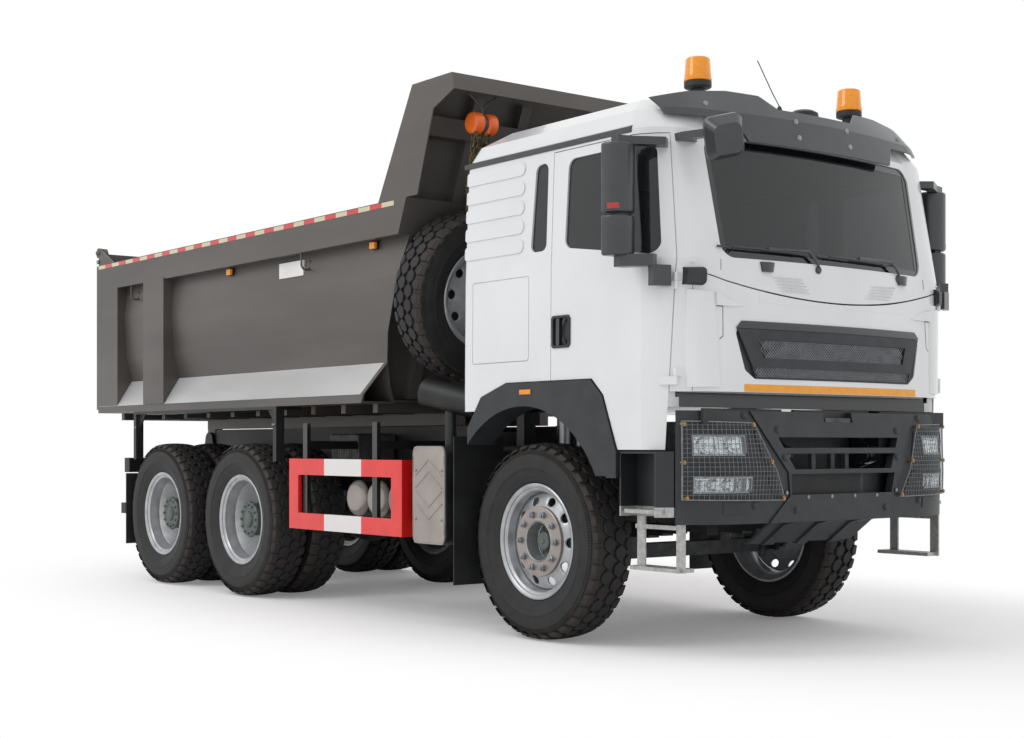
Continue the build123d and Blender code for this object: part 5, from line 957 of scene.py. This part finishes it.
silencer = {"middle": (0.962, 0.860), "face": -1.2585}
cover = [(-1.2505, y, z) for y, z in (
    (0.800, 0.545), (0.785, 0.570), (0.780, 0.600), (0.780, 1.120), (0.785, 1.150), (0.800, 1.172), (0.830, 1.178),
    (1.094, 1.178), (1.124, 1.172), (1.139, 1.150), (1.144, 1.120), (1.144, 0.600), (1.139, 0.570), (1.124, 0.545),
    (1.094, 0.541), (0.830, 0.541))]
midY, midZ = silencer["middle"]
ridges = [tube([(silencer["face"], midY, z), (silencer["face"], midY + side * 0.150, z + lean * 0.105)], 0.0055, 6)
          for z, lean in ((1.090, -1), (1.010, -1), (0.780, 1), (0.700, 1)) for side in sides]
rim = [(-1.2570, midY + (y - midY) * 0.965, midZ + (z - midZ) * 0.975) for _, y, z in cover]
ridges.append(tube(rim + rim[:1], 0.004, 6))
makePiece("silencerCover", [prism(cover, (-0.008, 0, 0))] + ridges, tankGrey, "chassis", 35.0)
screws = [stud((-1.2583, y, z), (-1, 0, 0), 0.009, 0.005, 0.002) for y in (0.815, 1.109) for z in (1.020, 0.700)]
makePiece("silencerScrews", screws, boltZinc, "chassis")

battery = [box((-0.780, 2.560, 0.985), (-0.462, 2.960, 1.250)), box((-0.790, 2.552, 1.200), (-0.458, 2.968, 1.262))]
battery += [box((-0.784, y, 1.000), (-0.462, y + 0.012, 1.196)) for y in np.arange(2.590, 2.940, 0.036)]
battery += [box((-0.786, y, 1.258), (-0.462, y + 0.020, 1.272)) for y in np.arange(2.600, 2.930, 0.055)]
makePiece("batteryBox", battery, castGrey, "chassis", bevel=0.003)
struts = [box((x0, y, z0), (x1, y + 0.040, z1)) for x0, x1, z0, z1 in (
    (-0.480, -0.440, 0.930, 1.100), (-0.760, -0.450, 0.960, 0.987)) for y in (2.600, 2.880)]
makePiece("batteryBrackets", struts, chassisBlack, "chassis", bevel=0.002)

rearLamp = {"face": 5.8955, "back": 5.912, "low": 0.955, "high": 1.055}
for name, x0, x1, lens, slotName in (("Red", 1.035, 1.075, redLens, "guard_paint"),
                                     ("Amber", 1.116, 1.158, amberLens, "amber_plastic"),
                                     ("Clear", 1.077, 1.114, signalWhite, "lamp_glass")):
    lamp = box((x0, rearLamp["face"], rearLamp["low"]), (x1, rearLamp["back"], rearLamp["high"]))
    makePiece("rearLamps" + name, bothSides([lamp]), lens, "chassis", bevel=0.004)

core = [box((-0.335, -1.190, 0.900), (0.335, -1.150, 1.330))]
core += bothSides([box((0.435, -1.336, 0.800), (0.640, -1.318, 1.330))])
makePiece("radiatorCore", core, chassisBlack, "chassis")
print("chassis side")


# cab side: gutters, door handles, arch markers, mirror reflectors

gutter = prism([(1.205, 0.612, 2.922), (1.222, 0.612, 2.926), (1.224, 0.612, 2.956), (1.204, 0.612, 2.966)],
               (0, -1.560, 0))
makePiece("roofGutters", bothSides([gutter]), satinDark, "cab", bevel=0.003)
# each handle has a raised frame that turns into the hollow and lines it to its floor
handle = {"skin": 1.2425, "low": 1.752, "high": 1.942, "middle": (-0.3725, 1.847), "proud": 0.010, "floor": -0.0215}
low, high = handle["low"], handle["high"]
outer = np.array([(-0.456, low + 0.02), (-0.440, low), (-0.300, low), (-0.289, low + 0.012),
                  (-0.289, high - 0.012), (-0.300, high), (-0.440, high), (-0.456, high - 0.02)])
inner = handle["middle"] + (outer - handle["middle"]) * (0.80, 0.84)
rings = np.array([np.insert(ring, 0, handle["skin"] + out, axis=1) for ring, out in (
    (outer, -0.001), (outer, handle["proud"]), (inner, handle["proud"]), (inner, handle["floor"]))])
n = len(outer)
lining = (rings.reshape(-1, 3), gridFaces(4, n, False, True).tolist() + [list(range(3 * n, 4 * n))])
grip = tube([(handle["skin"] + out, -0.415, z) for out, z in (
    (0.002, 1.775), (0.016, 1.800), (0.016, 1.895), (0.002, 1.920))], 0.013, 8)
handles = bothSides([lining, grip])
makePiece("doorHandleRight", handles[2:], mouldedGrey, "door_right", bevel=0.003)
makePiece("doorHandleLeft", handles[:2], mouldedGrey, "door_left", bevel=0.003)
markers = bothSides([box((1.2535, -0.102, 1.488), (1.262, 0.004, 1.518))])
makePiece("archMarkers", markers, amberLens, "cab", bevel=0.003)
# a curved reflector wraps the outer lower corner of each upper mirror housing
housing = {"centre": (1.372, -1.0028), "radius": 0.0972, "angles": (16, 56), "low": 2.467, "high": 2.497}
near, far = housing["radius"] - 0.004, housing["radius"] + 0.0012
section = [(near, housing["low"]), (far, housing["low"]), (far, housing["high"]), (near, housing["high"])]
points = [(housing["centre"][0] + r * math.cos(a), housing["centre"][1] - r * math.sin(a), z)
          for a in np.radians(np.linspace(*housing["angles"], 9)) for r, z in section]
faces = gridFaces(9, 4, False, True).tolist() + [[0, 1, 2, 3], list(range(len(points) - 4, len(points)))]
for door, part in zip(("door_right", "door_left"), bothSides([(points, faces)])[::-1]):
    makePiece("mirrorReflector" + door[4:], [part], redLens, door)
# painted shade: dark panels fill the shaded slit over the bumper, clear of the cab's tilt lugs
slitShade = [box((-0.330, -1.345, 1.300), (0.330, -1.325, 1.386))]
slitShade += bothSides([box((0.430, -1.345, 1.300), (1.050, -1.325, 1.386))])
makePiece("bumperSlitShade", slitShade, chassisBlack, "chassis")


# the tailgate's back: shallow pressed stiffeners and a row of conspicuity tape; the roof's aerials

gate = {"face": 6.346, "ribs": (-1.14, -0.76, -0.38, 0.0, 0.38, 0.76, 1.14), "low": 1.72, "high": 2.92,
        "ribHalf": 0.045, "rimHalf": 0.035, "proud": 0.0013, "tapeFrom": -1.20, "tapePitch": 0.15, "tapes": 16,
        "tapeLow": 1.585, "tapeHigh": 1.635}
under, over = gate["face"] - 0.003, gate["face"] + gate["proud"]
ribs = [box((x - gate["ribHalf"], under, gate["low"]), (x + gate["ribHalf"], over, gate["high"]))
        for x in gate["ribs"]]
ribs += [box((-1.22, under, z - gate["rimHalf"]), (1.22, over, z + gate["rimHalf"]))
         for z in (gate["low"], gate["high"])]
makePiece("tailgateRibs", ribs, bedGrey, "tailgate", bevel=0.0006)
tape = ([], [])
for k in range(gate["tapes"]):
    x = gate["tapeFrom"] + gate["tapePitch"] * k
    tape[k % 2].append(box((x, gate["face"] - 0.002, gate["tapeLow"]),
                           (x + gate["tapePitch"], gate["face"] + 0.0011, gate["tapeHigh"])))
makePiece("gateTapeRed", tape[1], tapeRed, "tailgate")
makePiece("gateTapeCream", tape[0], tapeCream, "tailgate")
aerials = [tube([(-0.053, -0.985, 3.185), (-0.053, -0.985, 3.215), (-0.090, -0.965, 3.290),
                 (-0.190, -0.935, 3.480)], 0.0032, 6),
           turned([(3.180, 0.0), (3.180, 0.020), (3.205, 0.014), (3.215, 0.008), (3.215, 0.0)], 16,
                  (-0.053, -0.985, 0.0), (0, 0, 1)),
           turned([(3.170, 0.0), (3.170, 0.095), (3.205, 0.090), (3.222, 0.060), (3.228, 0.0)], 32,
                  (0.187, -0.960, 0.0), (0, 0, 1))]
makePiece("roofAerial", aerials, chassisBlack, "cab", 35.0)
print("cab side")


# seats: foam pads swollen under cloth, on moulded bases

seat = {"x": 0.600, "voxel": 0.010, "pressure": 4.0, "mostSwell": 0.014, "frames": 20, "channelDepth": 0.006,
        "channelAt": 0.26, "channelWidth": 0.012, "shrink": 0.010, "rounding": 0.035}


def swell(low, high):
    # a pad's points and faces: a box a little too small is remeshed, swollen by cloth pressure with its travel
    # capped, and given sewn channels along its length
    low, high = np.array(low) + seat["shrink"], np.array(high) - seat["shrink"]
    points, faces = box(low, high)
    mesh = bpy.data.meshes.new("padForm")
    mesh.from_pydata(points.tolist(), [], faces)
    form = bpy.data.objects.new("padForm", mesh)
    bpy.context.scene.collection.objects.link(form)
    rounding = form.modifiers.new("corners", "BEVEL")
    rounding.width, rounding.segments = seat["rounding"], 4
    grain = form.modifiers.new("voxels", "REMESH")
    grain.mode, grain.voxel_size = "VOXEL", seat["voxel"]
    start = bpy.data.meshes.new_from_object(form.evaluated_get(bpy.context.evaluated_depsgraph_get()))
    bpy.data.objects.remove(form)
    count = len(start.vertices)

    def values(items, key):
        buffer = np.empty(count * 3)
        items.foreach_get(key, buffer)
        return buffer.reshape(-1, 3)

    before, normal = values(start.vertices, "co"), values(start.vertices, "normal")
    after = before
    pad = bpy.data.objects.new("padCloth", start)
    bpy.context.scene.collection.objects.link(pad)
    cloth = pad.modifiers.new("swell", "CLOTH")
    cloth.settings.use_pressure = True
    cloth.settings.uniform_pressure_force = seat["pressure"]
    cloth.settings.effector_weights.gravity = 0.0
    cloth.settings.quality = 5
    cloth.point_cache.frame_start, cloth.point_cache.frame_end = 1, seat["frames"]
    for step in range(1, seat["frames"] + 1):
        bpy.context.scene.frame_set(step)
    swollen = pad.evaluated_get(bpy.context.evaluated_depsgraph_get()).to_mesh()
    after = values(swollen.vertices, "co")
    bpy.data.objects.remove(pad)
    bpy.context.scene.frame_set(1)
    move = after - before
    size = np.linalg.norm(move, axis=1, keepdims=True)
    after = before + move * np.minimum(1.0, seat["mostSwell"] / np.maximum(size, 1e-9))
    across = after[:, 0] - (low[0] + high[0]) / 2
    groove = sum(np.exp(-((across - side * seat["channelAt"] * (high[0] - low[0])) / seat["channelWidth"]) ** 2)
                 for side in sides)
    return after - normal * (groove * seat["channelDepth"])[:, None], [list(p.vertices) for p in start.polygons]


pads = {"SeatCushion": ((0.340, -0.580, 1.762), (0.860, -0.080, 1.872)),
        "SeatBack": ((0.350, -0.172, 1.850), (0.850, -0.048, 2.458)),
        "HeadPad": ((0.450, -0.158, 2.470), (0.750, -0.062, 2.650))}
for part, (low, high) in pads.items():
    points, faces = swell(low, high)
    for who, shift in (("kerb", 2 * seat["x"]), ("driver", 0.0)):
        piece = makePiece(who + part, [(points - (shift, 0.0, 0.0), faces)], seatCloth, "cab", 60.0,
                          replaced=("seats",) if who + part == "driverSeatCushion" else ())
        smooth = piece.modifiers.new("smooth", "SUBSURF")
        smooth.levels = smooth.render_levels = 1
bases = [box((0.400, -0.540, 1.450), (0.800, -0.120, 1.510)), box((0.430, -0.510, 1.510), (0.770, -0.150, 1.700)),
         box((0.365, -0.560, 1.700), (0.835, -0.100, 1.764))]
bases += [tube([(x, -0.110, 2.440), (x, -0.110, 2.500)], 0.007) for x in (0.530, 0.670)]
makePiece("seatBases", bothSides(bases), mouldedGrey, "cab", bevel=0.006)

steer = {"tilt": (0.0, 0.55, 0.83), "hub": (0.600, -0.740, 2.160), "radius": 0.225, "grip": 0.018}
circle = np.arange(10) * 2 * math.pi / 10
steering = [turned(np.stack([steer["grip"] * np.cos(circle), steer["radius"] + steer["grip"] * np.sin(circle)], -1),
                   48, (0.600, -0.740, 2.180), steer["tilt"], True),
            turned([(-0.045, 0.0), (-0.045, 0.050), (0.010, 0.075), (0.018, 0.060), (0.018, 0.0)], 32, steer["hub"],
                   steer["tilt"])]
a, u, v = axesOf(steer["tilt"])
for angle in (0.3, math.pi - 0.3, -math.pi / 2):
    out = math.cos(angle) * u + math.sin(angle) * v
    steering.append(tube([steer["hub"] + out * 0.05, steer["hub"] + a * 0.018 + out * 0.218], 0.012, 8))
steering.append(tube([steer["hub"] - a * 0.03, steer["hub"] - a * 0.26], 0.032, 12))
makePiece("steeringWheel", steering, satinDark, "cab", 40.0)
print("seats")


# camera, floor and light

studio = {"keyPower": 640.0, "worldLight": 0.80, "floorTone": "#F4F4F4", "floorGlow": 0.16, "floorHalf": 80,
          "floorMiddle": (0.7, -0.3, 0.0), "floorStretch": (1.0, 0.50, 1.0), "fadeFrom": 1.9, "fadeTo": 3.8,
          "keyPlace": (-14.0, 2.0, 13.0), "keyAim": (0.0, 0.0, 1.0), "keySize": 7.0}
viewpoint = {"place": (-7.05715, -9.7479, 1.18488), "heading": 37.88, "sensor": 36.0, "lens": 54.81,
             "shift": 0.0743}

camera = bpy.data.objects.new("camera", bpy.data.cameras.new("camera"))
bpy.context.scene.collection.objects.link(camera)
camera.location = viewpoint["place"]
camera.rotation_euler = (math.pi / 2, 0.0, -math.radians(viewpoint["heading"]))
camera.data.sensor_width = viewpoint["sensor"]
camera.data.lens = viewpoint["lens"]
camera.data.shift_y = viewpoint["shift"]
camera.data.clip_end = 400.0
bpy.context.scene.camera = camera


def seenDirectly(tree):
    # 1 for rays that come from the camera, off a mirror or through glass, and 1 for the camera's alone
    rays = addNode(tree, "ShaderNodeLightPath").outputs
    seen = rays["Is Camera Ray"]
    for kind in ("Is Glossy Ray", "Is Transmission Ray"):
        seen = addNode(tree, "ShaderNodeMath", {0: seen, 1: rays[kind]}, operation="MAXIMUM").outputs[0]
    return seen, rays["Is Camera Ray"]


def finishTree(tree, output, share, lit, kind):
    # plain white of the given kind takes over the lit shader by a share
    plain = addNode(tree, kind, {"Color": (1, 1, 1, 1), "Strength": 1.0})
    mix = addNode(tree, "ShaderNodeMixShader", {0: share, 1: lit.outputs[0], 2: plain.outputs[0]})
    tree.links.new(mix.outputs[0], tree.nodes[output].inputs["Surface"])


half = studio["floorHalf"]
floorMesh = bpy.data.meshes.new("floor")
floorMesh.from_pydata([(-half, -half, 0), (half, -half, 0), (half, half, 0), (-half, half, 0)], [], [(0, 1, 2, 3)])
floor = bpy.data.objects.new("floor", floorMesh)
bpy.context.scene.collection.objects.link(floor)
floorPaint = newMaterial("paleFloor", studio["floorTone"], 0.95, Specular_IOR_Level=0.0)
tree, shader, place = openMaterial(floorPaint)
shader.inputs["Emission Color"].default_value = (1.0, 1.0, 1.0, 1.0)
# away from the truck the floor turns to plain white for rays that see it directly
reach = addNode(tree, "ShaderNodeVectorMath", {0: place, 1: studio["floorMiddle"]}, operation="SUBTRACT").outputs[0]
reach = addNode(tree, "ShaderNodeVectorMath", {0: reach, 1: studio["floorStretch"]}, operation="MULTIPLY").outputs[0]
reach = addNode(tree, "ShaderNodeVectorMath", {0: reach}, operation="LENGTH").outputs["Value"]
fade = addNode(tree, "ShaderNodeMapRange", {"Value": reach, "From Min": studio["fadeFrom"],
                                            "From Max": studio["fadeTo"]},
               interpolation_type="SMOOTHSTEP").outputs["Result"]
seen, cameraRay = seenDirectly(tree)
glow = addNode(tree, "ShaderNodeMath", {0: cameraRay, 1: studio["floorGlow"]}, operation="MULTIPLY").outputs[0]
tree.links.new(glow, shader.inputs["Emission Strength"])
share = addNode(tree, "ShaderNodeMath", {0: seen, 1: fade}, operation="MULTIPLY").outputs[0]
finishTree(tree, "Material Output", share, shader, "ShaderNodeEmission")
floorMesh.materials.append(floorPaint)

world = bpy.data.worlds.new("studio")
bpy.context.scene.world = world
world.use_nodes = True
background = world.node_tree.nodes["Background"]
background.inputs["Color"].default_value = (1.0, 1.0, 1.0, 1.0)
background.inputs["Strength"].default_value = studio["worldLight"]
finishTree(world.node_tree, "World Output", seenDirectly(world.node_tree)[0], background, "ShaderNodeBackground")

keyLight = bpy.data.objects.new("keyLight", bpy.data.lights.new("keyLight", "AREA"))
bpy.context.scene.collection.objects.link(keyLight)
keyLight.data.shape = "RECTANGLE"
keyLight.data.size = keyLight.data.size_y = studio["keySize"]
keyLight.data.energy = studio["keyPower"]
keyLight.location = studio["keyPlace"]
toTruck = np.subtract(studio["keyAim"], studio["keyPlace"])
keyLight.rotation_euler = (math.pi / 2 + math.atan2(toTruck[2], math.hypot(toTruck[0], toTruck[1])), 0.0,
                           -math.atan2(toTruck[0], toTruck[1]))
bpy.context.scene.view_settings.view_transform = "Standard"
print("camera, floor and light")
